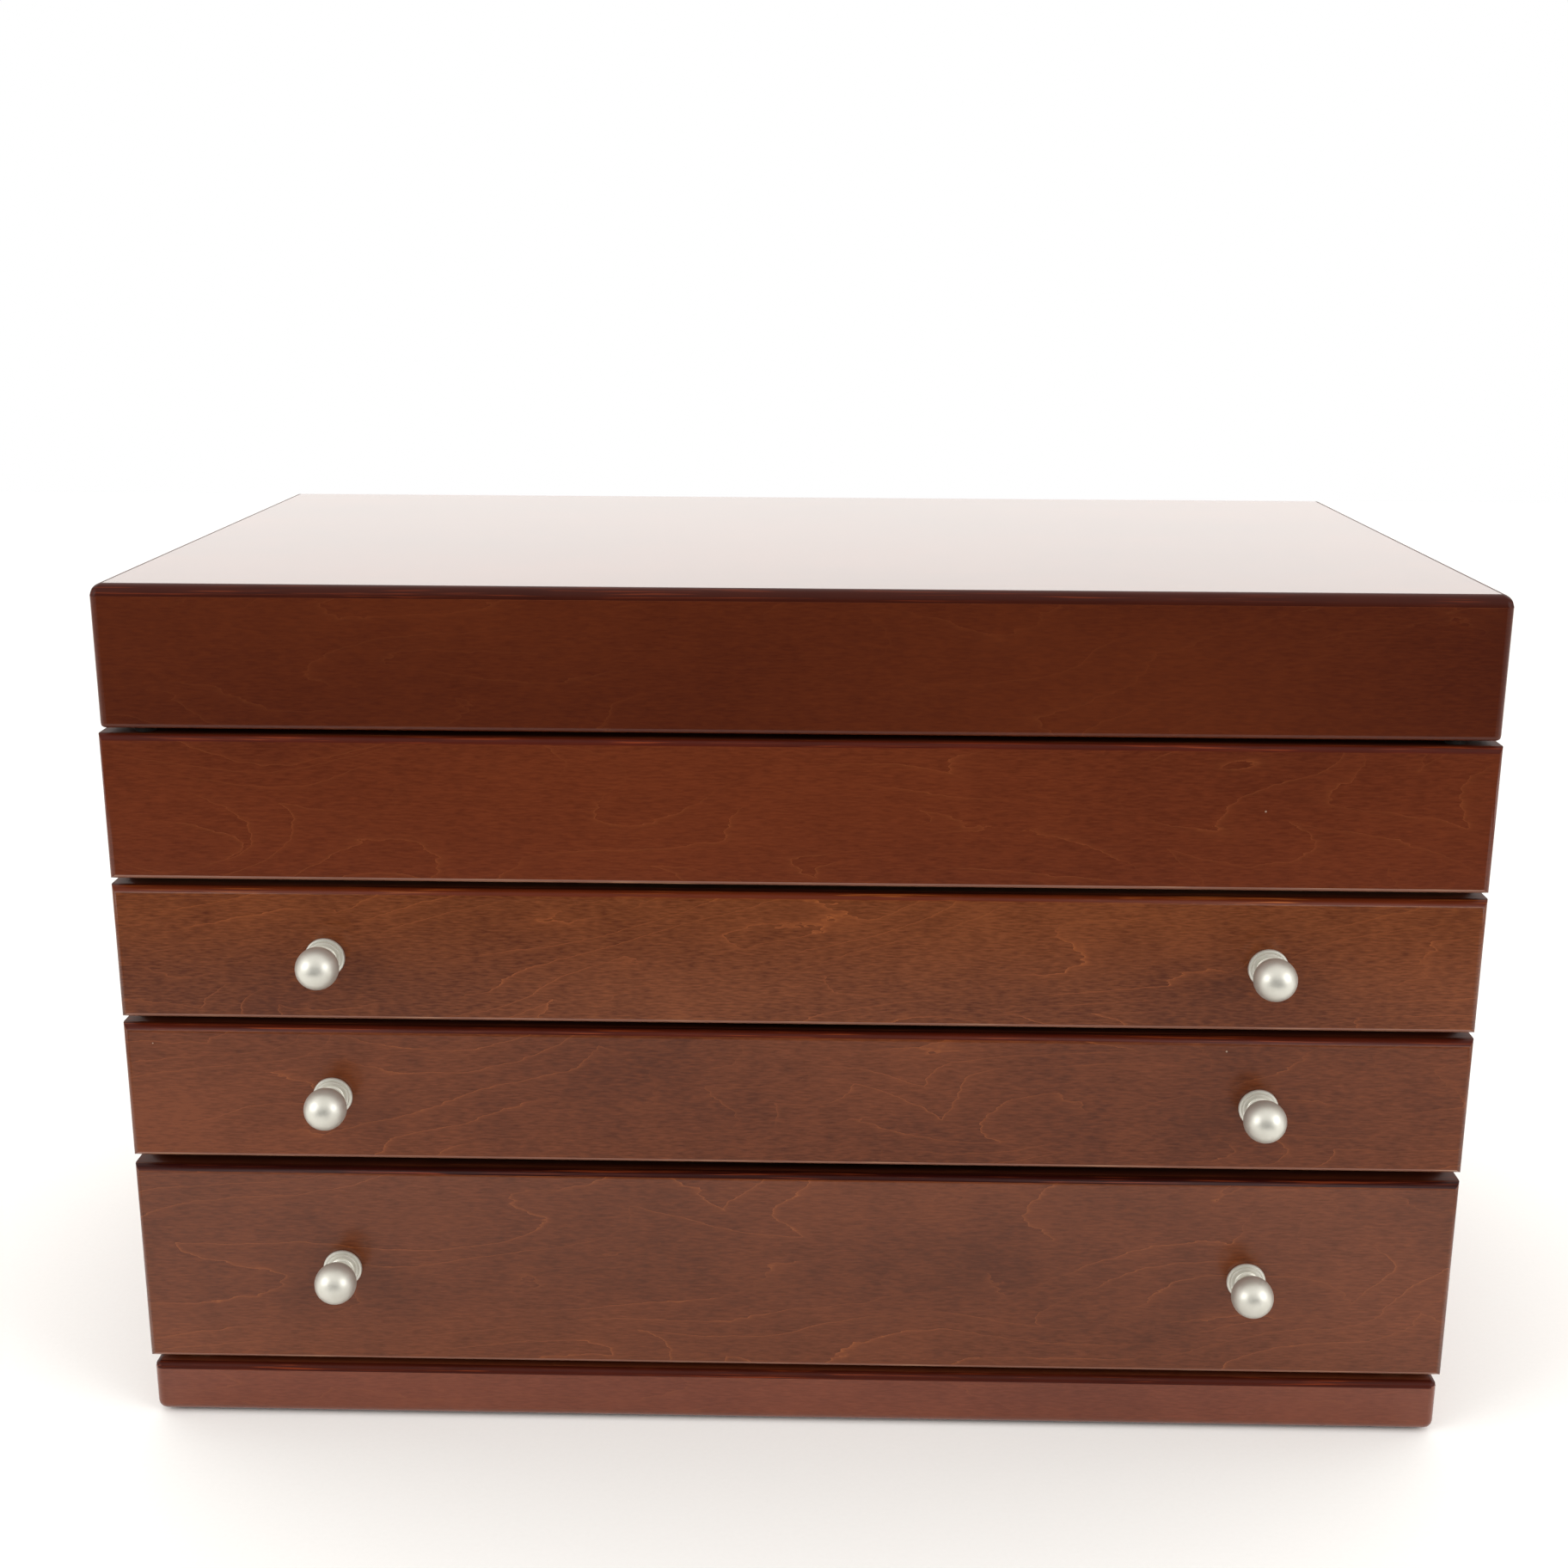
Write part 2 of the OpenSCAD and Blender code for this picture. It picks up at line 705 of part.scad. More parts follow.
// Half of the knob's section, with its axis up from the face of the front
module knob_section() {
    foot_r = foot_d / 2;
    rim = foot_t / 2;
    difference() {
        union() {
            // foot with a round rim
            square([foot_r - rim, foot_t]);
            translate([foot_r - rim, rim]) circle(rim);
            // step on the foot, neck and ball
            square([neck_d / 2 + step_out, foot_t + step_up]);
            square([neck_d / 2, ball_out]);
            intersection() {
                translate([0, ball_out]) circle(ball_d / 2, $fn = 96);
                square([ball_d, 3 * ball_d]);
            }
        }
        translate([-over, -over]) square([screw_d / 2 + screw_gap + over, knob_bore + over]);
    }
}

module knob(drawer, side) {
    color(NICKEL) translate([side * knob_x, face_y, knob_z(drawer)]) rotate([90, 0, 0])
        rotate_extrude() knob_section();
}

module knob_screws(drawer) {
    seat_y = box_y - screw_recess;
    color(NICKEL) for (s = [-1, 1])
        translate([s * knob_x, seat_y, knob_z(drawer)]) rotate([90, 0, 0]) difference() {
            union() {
                translate([0, 0, -screw_head_h]) cylinder(d = screw_head_d, h = screw_head_h);
                cylinder(d = screw_d, h = seat_y - face_y + screw_in_knob);
            }
            for (a = [0, 90])
                rotate(a) translate([-screw_cross[0] / 2, -screw_cross[1] / 2, -screw_head_h - over])
                    cube([screw_cross[0], screw_cross[1], screw_cross[2] + over]);
        }
}

base_board();
base_felt();
case_side(-1);  // left_side
case_side(1);  // right_side
back_panel();
false_front();
tray_floor();
dust_panel(upper_panel_z);  // upper_dust_panel
dust_panel(lower_panel_z);  // lower_dust_panel
tray_lining();
tray_dividers();
ring_rolls();
case_leaf(-1);  // left_hinge_case_leaf
case_leaf(1);  // right_hinge_case_leaf
hinge_pin(-1);  // left_hinge_pin
hinge_pin(1);  // right_hinge_pin
case_hinge_screws();
lid_top();
lid_front_rail();
lid_back_rail();
lid_left_rail();
lid_right_rail();
lid_lining();
mirror_glass();  // mirror
mirror_frame();
lid_bumpers();
lid_leaf(-1);  // left_hinge_lid_leaf
lid_leaf(1);  // right_hinge_lid_leaf
lid_hinge_screws();
drawer_front(upper);  // upper_front
drawer_side(upper, -1);  // upper_left_side
drawer_side(upper, 1);  // upper_right_side
drawer_back(upper);  // upper_back
drawer_bottom(upper);  // upper_bottom
drawer_lining(upper);  // upper_lining
drawer_dividers(upper, upper_cols, 2);  // upper_dividers
knob(upper, -1);  // upper_left_knob
knob(upper, 1);  // upper_right_knob
knob_screws(upper);  // upper_knob_screws
drawer_front(middle);  // middle_front
drawer_side(middle, -1);  // middle_left_side
drawer_side(middle, 1);  // middle_right_side
drawer_back(middle);  // middle_back
drawer_bottom(middle);  // middle_bottom
drawer_lining(middle);  // middle_lining
drawer_dividers(middle, middle_cols, 1);  // middle_dividers
knob(middle, -1);  // middle_left_knob
knob(middle, 1);  // middle_right_knob
knob_screws(middle);  // middle_knob_screws
drawer_front(lower);  // lower_front
drawer_side(lower, -1);  // lower_left_side
drawer_side(lower, 1);  // lower_right_side
drawer_back(lower);  // lower_back
drawer_bottom(lower);  // lower_bottom
drawer_lining(lower);  // lower_lining
knob(lower, -1);  // lower_left_knob
knob(lower, 1);  // lower_right_knob
knob_screws(lower);  // lower_knob_screws
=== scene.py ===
import math

import bmesh
import bpy
from mathutils import Matrix, Vector


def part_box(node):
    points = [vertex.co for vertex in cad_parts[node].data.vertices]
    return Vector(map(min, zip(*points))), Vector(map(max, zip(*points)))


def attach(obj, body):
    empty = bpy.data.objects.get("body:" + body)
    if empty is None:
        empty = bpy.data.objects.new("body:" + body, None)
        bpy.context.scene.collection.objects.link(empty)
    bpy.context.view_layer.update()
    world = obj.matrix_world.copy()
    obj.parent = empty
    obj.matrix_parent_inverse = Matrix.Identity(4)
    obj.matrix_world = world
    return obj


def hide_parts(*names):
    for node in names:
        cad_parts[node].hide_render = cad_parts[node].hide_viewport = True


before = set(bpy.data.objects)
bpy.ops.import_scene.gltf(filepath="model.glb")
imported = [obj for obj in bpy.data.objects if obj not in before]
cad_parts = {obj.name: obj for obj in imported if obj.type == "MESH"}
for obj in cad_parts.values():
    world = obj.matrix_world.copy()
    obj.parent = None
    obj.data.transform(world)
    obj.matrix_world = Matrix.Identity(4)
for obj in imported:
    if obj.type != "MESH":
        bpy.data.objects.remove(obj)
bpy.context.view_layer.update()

MM = 0.001


# ---- Studio ----
# A white paper floor that ends a little way in front of the chest, in a bright room whose front
# end is dark. Two big softboxes stand high at the left and right of the camera.

def linear(code):
    """An sRGB hex colour as the linear RGBA that Blender takes."""
    parts = [int(code[i:i + 2], 16) / 255 for i in (0, 2, 4)]
    return [c / 12.92 if c <= 0.04045 else ((c + 0.055) / 1.055) ** 2.4 for c in parts] + [1]


def add_node(tree, kind, settings=None, inputs=None):
    """Adds a node with its settings, and its inputs, each a value or another node's output."""
    made = tree.nodes.new(kind)
    for key, value in (settings or {}).items():
        setattr(made, key, value)
    for key, value in (inputs or {}).items():
        if isinstance(value, bpy.types.NodeSocket):
            tree.links.new(value, made.inputs[key])
        else:
            made.inputs[key].default_value = value
    return made


def new_material(name):
    """An empty material and its output, ready for its shader."""
    made = bpy.data.materials.new(name)
    made.use_nodes = True
    made.node_tree.nodes.clear()
    return made, made.node_tree, made.node_tree.nodes.new("ShaderNodeOutputMaterial")


def nothing_selected():
    bpy.ops.object.select_all(action="DESELECT")


bpy.context.scene.view_settings.view_transform = "Standard"

# The camera stands about half a metre in front of the chest and looks down on it by 15 degrees.
nothing_selected()
bpy.ops.object.camera_add(location=(0.0077, -0.6687, 0.3572),
                          rotation=[math.radians(a) for a in (75.1316, -0.2769, 1.2194)])
camera = bpy.context.object
camera.data.lens = 45.4
camera.data.sensor_width = 36
camera.data.clip_start = 0.01
bpy.context.scene.camera = camera

FLOOR_FRONT = -0.54
FLOOR_BACK = 2.4
FLOOR_SIDE = 1.8
bpy.ops.mesh.primitive_plane_add(size=1, location=(0, (FLOOR_FRONT + FLOOR_BACK) / 2, 0))
floor = bpy.context.object
floor.name = "floor"
floor.scale = (2 * FLOOR_SIDE, FLOOR_BACK - FLOOR_FRONT, 1)
bpy.ops.object.transform_apply(location=True, rotation=True, scale=True)

paper, tree, out = new_material("white_paper")
place = add_node(tree, "ShaderNodeTexCoord")
fibres = add_node(tree, "ShaderNodeTexNoise", None,
                  {"Vector": place.outputs["Object"], "Scale": 700.0, "Detail": 2.0})
shade = add_node(tree, "ShaderNodeMapRange", None,
                 {"Value": fibres.outputs["Fac"], "To Min": 0.96, "To Max": 1.0})
tint = add_node(tree, "ShaderNodeMix", {"data_type": "RGBA", "blend_type": "MULTIPLY"},
                {0: 1.0, 6: linear("fdfdfb"), 7: shade.outputs["Result"]})
skin = add_node(tree, "ShaderNodeBsdfPrincipled", None,
                {"Base Color": tint.outputs[2], "Roughness": 0.9, "Specular IOR Level": 0.2})
tree.links.new(skin.outputs[0], out.inputs[0])
floor.data.materials.append(paper)

# The room is bright low down behind the chest, where the lid's top mirrors it, and dark behind the
# camera.
world = bpy.data.worlds.new("room")
bpy.context.scene.world = world
world.use_nodes = True
tree = world.node_tree
tree.nodes.clear()
out = tree.nodes.new("ShaderNodeOutputWorld")
way = add_node(tree, "ShaderNodeTexCoord")
axes = add_node(tree, "ShaderNodeSeparateXYZ", None, {0: way.outputs["Generated"]})
behind = add_node(tree, "ShaderNodeMapRange", {"interpolation_type": "SMOOTHSTEP"},
                  {"Value": axes.outputs["Y"], "From Min": -0.1, "From Max": 0.55})
low_down = add_node(tree, "ShaderNodeMapRange", {"interpolation_type": "SMOOTHSTEP"},
                    {"Value": axes.outputs["Z"], "From Min": 0.25, "From Max": 0.7,
                     "To Min": 1.76, "To Max": 1.35})
overhead = add_node(tree, "ShaderNodeMapRange", {"interpolation_type": "SMOOTHSTEP"},
                    {"Value": axes.outputs["Z"], "From Min": 0.2, "From Max": 0.7,
                     "To Min": 0.04, "To Max": 1.15})
sides = add_node(tree, "ShaderNodeMath", {"operation": "ABSOLUTE"}, {0: axes.outputs["X"]})
side_light = add_node(tree, "ShaderNodeMapRange", {"interpolation_type": "SMOOTHSTEP"},
                      {"Value": sides.outputs[0], "From Min": 0.45, "From Max": 0.95,
                       "To Min": 0.0, "To Max": 0.75})
front_half = add_node(tree, "ShaderNodeMath", {"operation": "MAXIMUM"},
                      {0: overhead.outputs["Result"], 1: side_light.outputs["Result"]})
skyline = add_node(tree, "ShaderNodeMapRange", {"interpolation_type": "SMOOTHSTEP"},
                   {"Value": axes.outputs["Z"], "From Min": 0.02, "From Max": 0.08,
                    "To Min": 0.15, "To Max": 1.0})
back_half = add_node(tree, "ShaderNodeMath", {"operation": "MULTIPLY"},
                     {0: low_down.outputs["Result"], 1: skyline.outputs["Result"]})
light = add_node(tree, "ShaderNodeMix", {"data_type": "FLOAT"},
                 {0: behind.outputs["Result"], 2: front_half.outputs[0],
                  3: back_half.outputs[0]})
lit = add_node(tree, "ShaderNodeBackground", None,
               {"Color": linear("fffdfa"), "Strength": light.outputs[0]})
seen = add_node(tree, "ShaderNodeBackground", None, {"Color": (1, 1, 1, 1), "Strength": 1.0})
rays = add_node(tree, "ShaderNodeLightPath")
both = add_node(tree, "ShaderNodeMixShader", None,
                {0: rays.outputs["Is Camera Ray"], 1: lit.outputs[0], 2: seen.outputs[0]})
tree.links.new(both.outputs[0], out.inputs[0])

STAND_OUT = 1.2
STAND_FRONT = -0.85
STAND_UP = 0.62
SOFTBOX_SIZE = 0.8
SOFTBOX_WATTS = 8
CHEST_MIDDLE = Vector((0, 0, 0.12))
for side in (-1, 1):
    stand = Vector((side * STAND_OUT, STAND_FRONT, STAND_UP))
    aim = CHEST_MIDDLE - stand
    nothing_selected()
    bpy.ops.object.light_add(type="AREA", location=stand,
                             rotation=aim.to_track_quat("-Z", "Y").to_euler())
    softbox = bpy.context.object
    softbox.name = "softbox_left" if side < 0 else "softbox_right"
    softbox.data.shape = "SQUARE"
    softbox.data.size = SOFTBOX_SIZE
    softbox.data.energy = SOFTBOX_WATTS
    softbox.visible_camera = False


# ---- Base ----
# The plinth is one solid board, stained and lacquered like the case, with its lower and upright
# edges well rounded. A sheet of black felt, a little smaller than the board, is glued under it.

RAIL = 9 * MM  # thickness of the case's side boards and of the lid's rails
base_low, base_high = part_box("base_board")
CASE_HALF = base_high.x
FRONT_Y = base_low.y
REAR_Y = base_high.y
SIDES = {"left": (-1, 0, 0), "right": (1, 0, 0), "front": (0, -1, 0), "back": (0, 1, 0),
         "low": (0, 0, -1), "top": (0, 0, 1)}


def pick(piece):
    """The next operator acts on this piece alone."""
    nothing_selected()
    piece.select_set(True)
    bpy.context.view_layer.objects.active = piece


def settled(piece):
    """The piece's place, turn and size go into its mesh."""
    pick(piece)
    bpy.ops.object.transform_apply(location=True, rotation=True, scale=True)
    return piece


def block(name, low, high):
    """A cube added between two opposite corners."""
    nothing_selected()
    bpy.ops.mesh.primitive_cube_add(size=1, location=(Vector(low) + Vector(high)) / 2)
    made = bpy.context.object
    made.name = made.data.name = name
    made.scale = Vector(high) - Vector(low)
    return settled(made)


def facing(normal, side):
    """Whether a face looks to a side, give or take 8 degrees."""
    return normal.dot(Vector(SIDES[side])) > 0.99


def apply_modifier(piece, kind, **settings):
    """Adds one modifier with its settings and applies it at once."""
    pick(piece)
    made = piece.modifiers.new(kind.lower(), kind)
    for key, value in settings.items():
        setattr(made, key, value)
    bpy.ops.object.modifier_apply(modifier=made.name)


def all_round(low=None, upright=None, top=None):
    """The same radius for the four low edges of a block, for its four uprights or its top edges."""
    radii = {}
    for side in ("front", "back", "left", "right"):
        if low:
            radii[side + " low"] = low
        if top:
            radii[side + " top"] = top
    if upright:
        radii.update({f"{end} {side}": upright
                      for end in ("front", "back") for side in ("left", "right")})
    return radii


BAND_LOOKS_UP = 0.15  # the least upward lean of a face that shows the darker band


def ease(piece, radii, edge_slot=1, steps=5, upward_only=True):
    """Rounds edges over. radii gives one in mm for each pair of faces, such as "front top"."""
    mesh = piece.data
    largest = max(radii.values())
    weights = mesh.attributes.new("bevel_weight_edge", "FLOAT", "EDGE")
    shape = bmesh.new()
    shape.from_mesh(mesh)
    for edge in shape.edges:
        one, other = [face.normal for face in edge.link_faces]
        for pair, radius in radii.items():
            a, b = pair.split()
            if (facing(one, a) and facing(other, b)) or (facing(one, b) and facing(other, a)):
                weights.data[edge.index].value = radius / largest
    shape.free()
    pick(piece)
    bpy.ops.object.shade_smooth()
    apply_modifier(piece, "BEVEL", width=largest * MM, limit_method="WEIGHT", segments=steps,
                   harden_normals=True, material=edge_slot)
    for face in piece.data.polygons:
        banded = face.material_index == edge_slot
        if upward_only and banded and face.normal.z < BAND_LOOKS_UP:
            face.material_index = 0


def grain_measure(tree, along, shift):
    """A way to measure a board's wood: lengths(run, across) gives Object coordinates in units of
    run mm along the grain and across mm over it, shifted so that no two boards look the same."""
    place = add_node(tree, "ShaderNodeTexCoord")

    def lengths(run, across):
        scale = [1000 / across] * 3
        scale["XYZ".index(along)] = 1000 / run
        return add_node(tree, "ShaderNodeMapping", None,
                        {"Vector": place.outputs["Object"], "Scale": scale,
                         "Location": shift}).outputs[0]

    return lengths


def lacquered_birch(name, seed, stain, figure, along="X", spacing=15.0, figure_colour="96522a",
                    blotch=0.5, fibre=1.2, coat=0.76):
    """Rotary-cut birch veneer, wiped with a brown stain and sprayed with satin-gloss lacquer. The
    eye sees very fine streaks along the grain, cloudy blotches of stain, and here and there the
    thin orange outline of a growth ring, under a smooth coat that mirrors at a low angle."""
    made, tree, out = new_material(name)
    lengths = grain_measure(tree, along, (seed * 3.7, seed * 5.3, seed * 7.9))
    # fibres: 0.2 mm in the wood, drawn 0.5 mm so that they show
    fibres = add_node(tree, "ShaderNodeTexNoise", None,
                      {"Vector": lengths(3.2, 0.5), "Scale": 1.0, "Detail": 2.0})
    clouds = add_node(tree, "ShaderNodeTexNoise", None,
                      {"Vector": lengths(13, 15), "Scale": 1.0, "Detail": 3.0})
    wide = add_node(tree, "ShaderNodeTexNoise", None,
                    {"Vector": lengths(150, 60), "Scale": 1.0, "Detail": 1.0})
    swirl = add_node(tree, "ShaderNodeTexNoise", None,
                     {"Vector": lengths(105, 34), "Scale": 1.0, "Detail": 0.6})
    jag = add_node(tree, "ShaderNodeTexNoise", None,
                   {"Vector": lengths(8, 2.4), "Scale": 1.0, "Detail": 3.0})
    # growth rings cut at a low angle: they climb slowly along the grain and turn back in sharp tips
    climb, turn_back = -0.22, 0.14
    swirl_bend, wide_bend, jag_bend = 11.0, 1.4, 0.34  # in rings
    line_sharpness, soft_sharpness, soft_share = 42.0, 5.0, 0.16
    tilt = [1 / spacing] * 3
    tilt["XYZ".index(along)] = climb / spacing
    flat = add_node(tree, "ShaderNodeVectorMath", {"operation": "DOT_PRODUCT"},
                    {0: lengths(1, 1), 1: tilt})
    bend = add_node(tree, "ShaderNodeMath", {"operation": "PINGPONG"},
                    {0: swirl.outputs["Fac"], 1: turn_back})
    height = flat.outputs["Value"]
    for wave, share in ((bend, swirl_bend), (wide, wide_bend), (jag, jag_bend)):
        height = add_node(tree, "ShaderNodeMath", {"operation": "MULTIPLY_ADD"},
                          {0: wave.outputs[0], 1: share, 2: height}).outputs[0]
    ring = add_node(tree, "ShaderNodeMath", {"operation": "FRACT"}, {0: height})
    line = add_node(tree, "ShaderNodeMath", {"operation": "POWER"},
                    {0: ring.outputs[0], 1: line_sharpness})
    soft = add_node(tree, "ShaderNodeMath", {"operation": "POWER"},
                    {0: ring.outputs[0], 1: soft_sharpness})
    show = add_node(tree, "ShaderNodeTexNoise", None,
                    {"Vector": lengths(58, 30), "Scale": 1.0, "Detail": 1.0})
    showing = add_node(tree, "ShaderNodeMapRange", {"interpolation_type": "SMOOTHSTEP"},
                       {"Value": show.outputs["Fac"], "From Min": 0.4, "From Max": 0.58,
                        "To Min": 0.15, "To Max": 1.0})
    broken = add_node(tree, "ShaderNodeMapRange", None,
                      {"Value": fibres.outputs["Fac"], "From Min": 0.3, "From Max": 0.6,
                       "To Min": 0.35, "To Max": 1.0})
    rings = add_node(tree, "ShaderNodeMath", {"operation": "MULTIPLY_ADD"},
                     {0: soft.outputs[0], 1: soft_share, 2: line.outputs[0]})
    for gap in (showing, broken):
        rings = add_node(tree, "ShaderNodeMath", {"operation": "MULTIPLY"},
                         {0: rings.outputs[0], 1: gap.outputs["Result"]})
    rings = add_node(tree, "ShaderNodeMath", {"operation": "MULTIPLY", "use_clamp": True},
                     {0: rings.outputs[0], 1: figure})

    patch = add_node(tree, "ShaderNodeMath", {"operation": "MULTIPLY_ADD"},
                     {0: clouds.outputs["Fac"], 1: blotch, 2: wide.outputs["Fac"]})
    patch = add_node(tree, "ShaderNodeMath", {"operation": "MULTIPLY_ADD"},
                     {0: fibres.outputs["Fac"], 1: fibre, 2: patch.outputs[0]})
    middle, spread = 0.5 * (1 + blotch + fibre), 0.38
    depth = add_node(tree, "ShaderNodeMapRange", None,
                     {"Value": patch.outputs[0], "From Min": middle - spread,
                      "From Max": middle + spread})
    body = add_node(tree, "ShaderNodeMix", {"data_type": "RGBA"},
                    {0: depth.outputs["Result"], 6: linear(stain[0]), 7: linear(stain[1])})
    colour = add_node(tree, "ShaderNodeMix", {"data_type": "RGBA"},
                      {0: rings.outputs[0], 6: body.outputs[2], 7: linear(figure_colour)})
    # dust caught in the lacquer: one or two specks on a board, each 0.6 mm across at most
    dust_patch = 17
    speck_size, bare_patches, speck_strength = 0.017, 0.6, 0.45
    dust = add_node(tree, "ShaderNodeTexVoronoi", None,
                    {"Vector": lengths(dust_patch, dust_patch), "Scale": 1.0})
    speck = add_node(tree, "ShaderNodeMath", {"operation": "LESS_THAN"},
                     {0: dust.outputs["Distance"], 1: speck_size})
    chosen = add_node(tree, "ShaderNodeSeparateColor", None, {0: dust.outputs["Color"]})
    few = add_node(tree, "ShaderNodeMath", {"operation": "GREATER_THAN"},
                   {0: chosen.outputs[0], 1: bare_patches})
    specks = add_node(tree, "ShaderNodeMath", {"operation": "MULTIPLY"},
                      {0: speck.outputs[0], 1: few.outputs[0]})
    specks = add_node(tree, "ShaderNodeMath", {"operation": "MULTIPLY"},
                      {0: specks.outputs[0], 1: speck_strength})
    colour = add_node(tree, "ShaderNodeMix", {"data_type": "RGBA"},
                      {0: specks.outputs[0], 6: colour.outputs[2], 7: linear("c8b49c")})
    relief = add_node(tree, "ShaderNodeBump", None,
                      {"Strength": 0.25, "Distance": 0.00003, "Height": fibres.outputs["Fac"]})
    # orange peel of the sprayed lacquer, about 5 mm from crest to crest
    peel = add_node(tree, "ShaderNodeTexNoise", None,
                    {"Vector": lengths(5, 5), "Scale": 1.0, "Detail": 1.0})
    skin_relief = add_node(tree, "ShaderNodeBump", None,
                           {"Strength": 0.15, "Distance": 0.00004, "Height": peel.outputs["Fac"]})
    rough = add_node(tree, "ShaderNodeMapRange", None,
                     {"Value": fibres.outputs["Fac"], "To Min": 0.42, "To Max": 0.56})
    skin = add_node(tree, "ShaderNodeBsdfPrincipled", None,
                    {"Base Color": colour.outputs[2], "Roughness": rough.outputs["Result"],
                     "Specular IOR Level": 0.05, "Normal": relief.outputs[0],
                     "Coat Weight": coat, "Coat Roughness": 0.19, "Coat IOR": 1.43,
                     "Coat Normal": skin_relief.outputs[0]})
    tree.links.new(skin.outputs[0], out.inputs[0])
    return made


def stained_edge(name, seed, along="X", stain=("4a150a", "240805"), streak="8c3a18", coat=0.18):
    """Solid birch moulded to a round edge. Its cut fibres take more stain, so the eye sees a dark,
    red band with fine streaks of orange where the sander went through."""
    made, tree, out = new_material(name)
    lengths = grain_measure(tree, along, (seed * 2.9, seed * 6.1, seed * 4.7))
    streaks = add_node(tree, "ShaderNodeTexNoise", None,
                       {"Vector": lengths(30, 0.6), "Scale": 1.0, "Detail": 3.0})
    clouds = add_node(tree, "ShaderNodeTexNoise", None,
                      {"Vector": lengths(28, 12), "Scale": 1.0, "Detail": 2.0})
    body = add_node(tree, "ShaderNodeMix", {"data_type": "RGBA"},
                    {0: clouds.outputs["Fac"], 6: linear(stain[0]), 7: linear(stain[1])})
    worn = add_node(tree, "ShaderNodeMapRange", {"interpolation_type": "SMOOTHSTEP"},
                    {"Value": streaks.outputs["Fac"], "From Min": 0.55, "From Max": 0.72,
                     "To Max": 0.7})
    colour = add_node(tree, "ShaderNodeMix", {"data_type": "RGBA"},
                      {0: worn.outputs["Result"], 6: body.outputs[2], 7: linear(streak)})
    relief = add_node(tree, "ShaderNodeBump", None,
                      {"Strength": 0.2, "Distance": 0.00003, "Height": streaks.outputs["Fac"]})
    rough = add_node(tree, "ShaderNodeMapRange", None,
                     {"Value": streaks.outputs["Fac"], "To Min": 0.4, "To Max": 0.52})
    skin = add_node(tree, "ShaderNodeBsdfPrincipled", None,
                    {"Base Color": colour.outputs[2], "Roughness": rough.outputs["Result"],
                     "Specular IOR Level": 0.05, "Normal": relief.outputs[0],
                     "Coat Weight": coat, "Coat Roughness": 0.32, "Coat IOR": 1.43})
    tree.links.new(skin.outputs[0], out.inputs[0])
    return made


def finish(piece, body, slot, nodes, *materials):
    """Gives the piece its materials and its body, and hides the CAD nodes that it stands for. The
    slot argument is not used.
    """
    for place, material in enumerate(materials):
        if place < len(piece.data.materials):
            piece.data.materials[place] = material
        else:
            piece.data.materials.append(material)
    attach(piece, body)
    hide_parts(*nodes)


base_veneer = lacquered_birch("stained_birch_base", 1.0, stain=("7a3d25", "5e2a16"), figure=0.25,
                              fibre=0.8, coat=1.0)
base_edge = stained_edge("stained_edge_base", 1.0, stain=("4c1a0d", "300d06"))
plinth = block("plinth", base_low, base_high)
plinth.data.materials.append(base_veneer)
plinth.data.materials.append(base_edge)
ease(plinth, all_round(low=3, upright=3, top=2))
finish(plinth, "case", "face_veneer", ["base_board"])


def pressed_felt(name, pile, light):
    """Needled wool felt. The eye sees a matt, cloudy surface of short tangled hairs."""
    made, tree, out = new_material(name)
    place = add_node(tree, "ShaderNodeTexCoord")
    # hairs under 0.05 mm thick, drawn as tangles of 0.45 mm, in clouds of 8 mm
    hairs = add_node(tree, "ShaderNodeTexNoise", None,
                     {"Vector": place.outputs["Object"], "Scale": 2200.0, "Detail": 4.0,
                      "Distortion": 1.5})
    clouds = add_node(tree, "ShaderNodeTexNoise", None,
                      {"Vector": place.outputs["Object"], "Scale": 120.0, "Detail": 2.0})
    blend = add_node(tree, "ShaderNodeMath", {"operation": "MULTIPLY"},
                     {0: hairs.outputs["Fac"], 1: clouds.outputs["Fac"]})
    amount = add_node(tree, "ShaderNodeMapRange", None,
                      {"Value": blend.outputs[0], "From Min": 0.1, "From Max": 0.42})
    colour = add_node(tree, "ShaderNodeMix", {"data_type": "RGBA"},
                      {0: amount.outputs["Result"], 6: linear(pile), 7: linear(light)})
    relief = add_node(tree, "ShaderNodeBump", None,
                      {"Strength": 0.6, "Distance": 0.0002, "Height": hairs.outputs["Fac"]})
    rough = add_node(tree, "ShaderNodeMapRange", None,
                     {"Value": hairs.outputs["Fac"], "To Min": 0.88, "To Max": 1.0})
    skin = add_node(tree, "ShaderNodeBsdfPrincipled", None,
                    {"Base Color": colour.outputs[2], "Roughness": rough.outputs["Result"],
                     "Specular IOR Level": 0.1, "Normal": relief.outputs[0],
                     "Sheen Weight": 0.08, "Sheen Roughness": 0.6})
    tree.links.new(skin.outputs[0], out.inputs[0])
    return made


felt_low, felt_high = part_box("base_felt")
base_sheet = block("felt_sheet", felt_low, felt_high)
ease(base_sheet, all_round(low=0.3, upright=0.6), edge_slot=-1, steps=2)
black_felt = pressed_felt("black_felt", "0f0e0d", "2a2725")
finish(base_sheet, "case", "base_felt", ["base_felt"], black_felt)


# ---- Case ----
# Two veneered side boards and a back board glued up on the plinth, the back let in between the
# sides. The sides' outer edges at the back are rounded, and the others are only just broken.

def cut_away(piece, waste):
    """Cuts one block out of a piece and throws the block away."""
    apply_modifier(piece, "BOOLEAN", operation="DIFFERENCE", solver="EXACT", object=waste)
    bpy.data.objects.remove(waste)


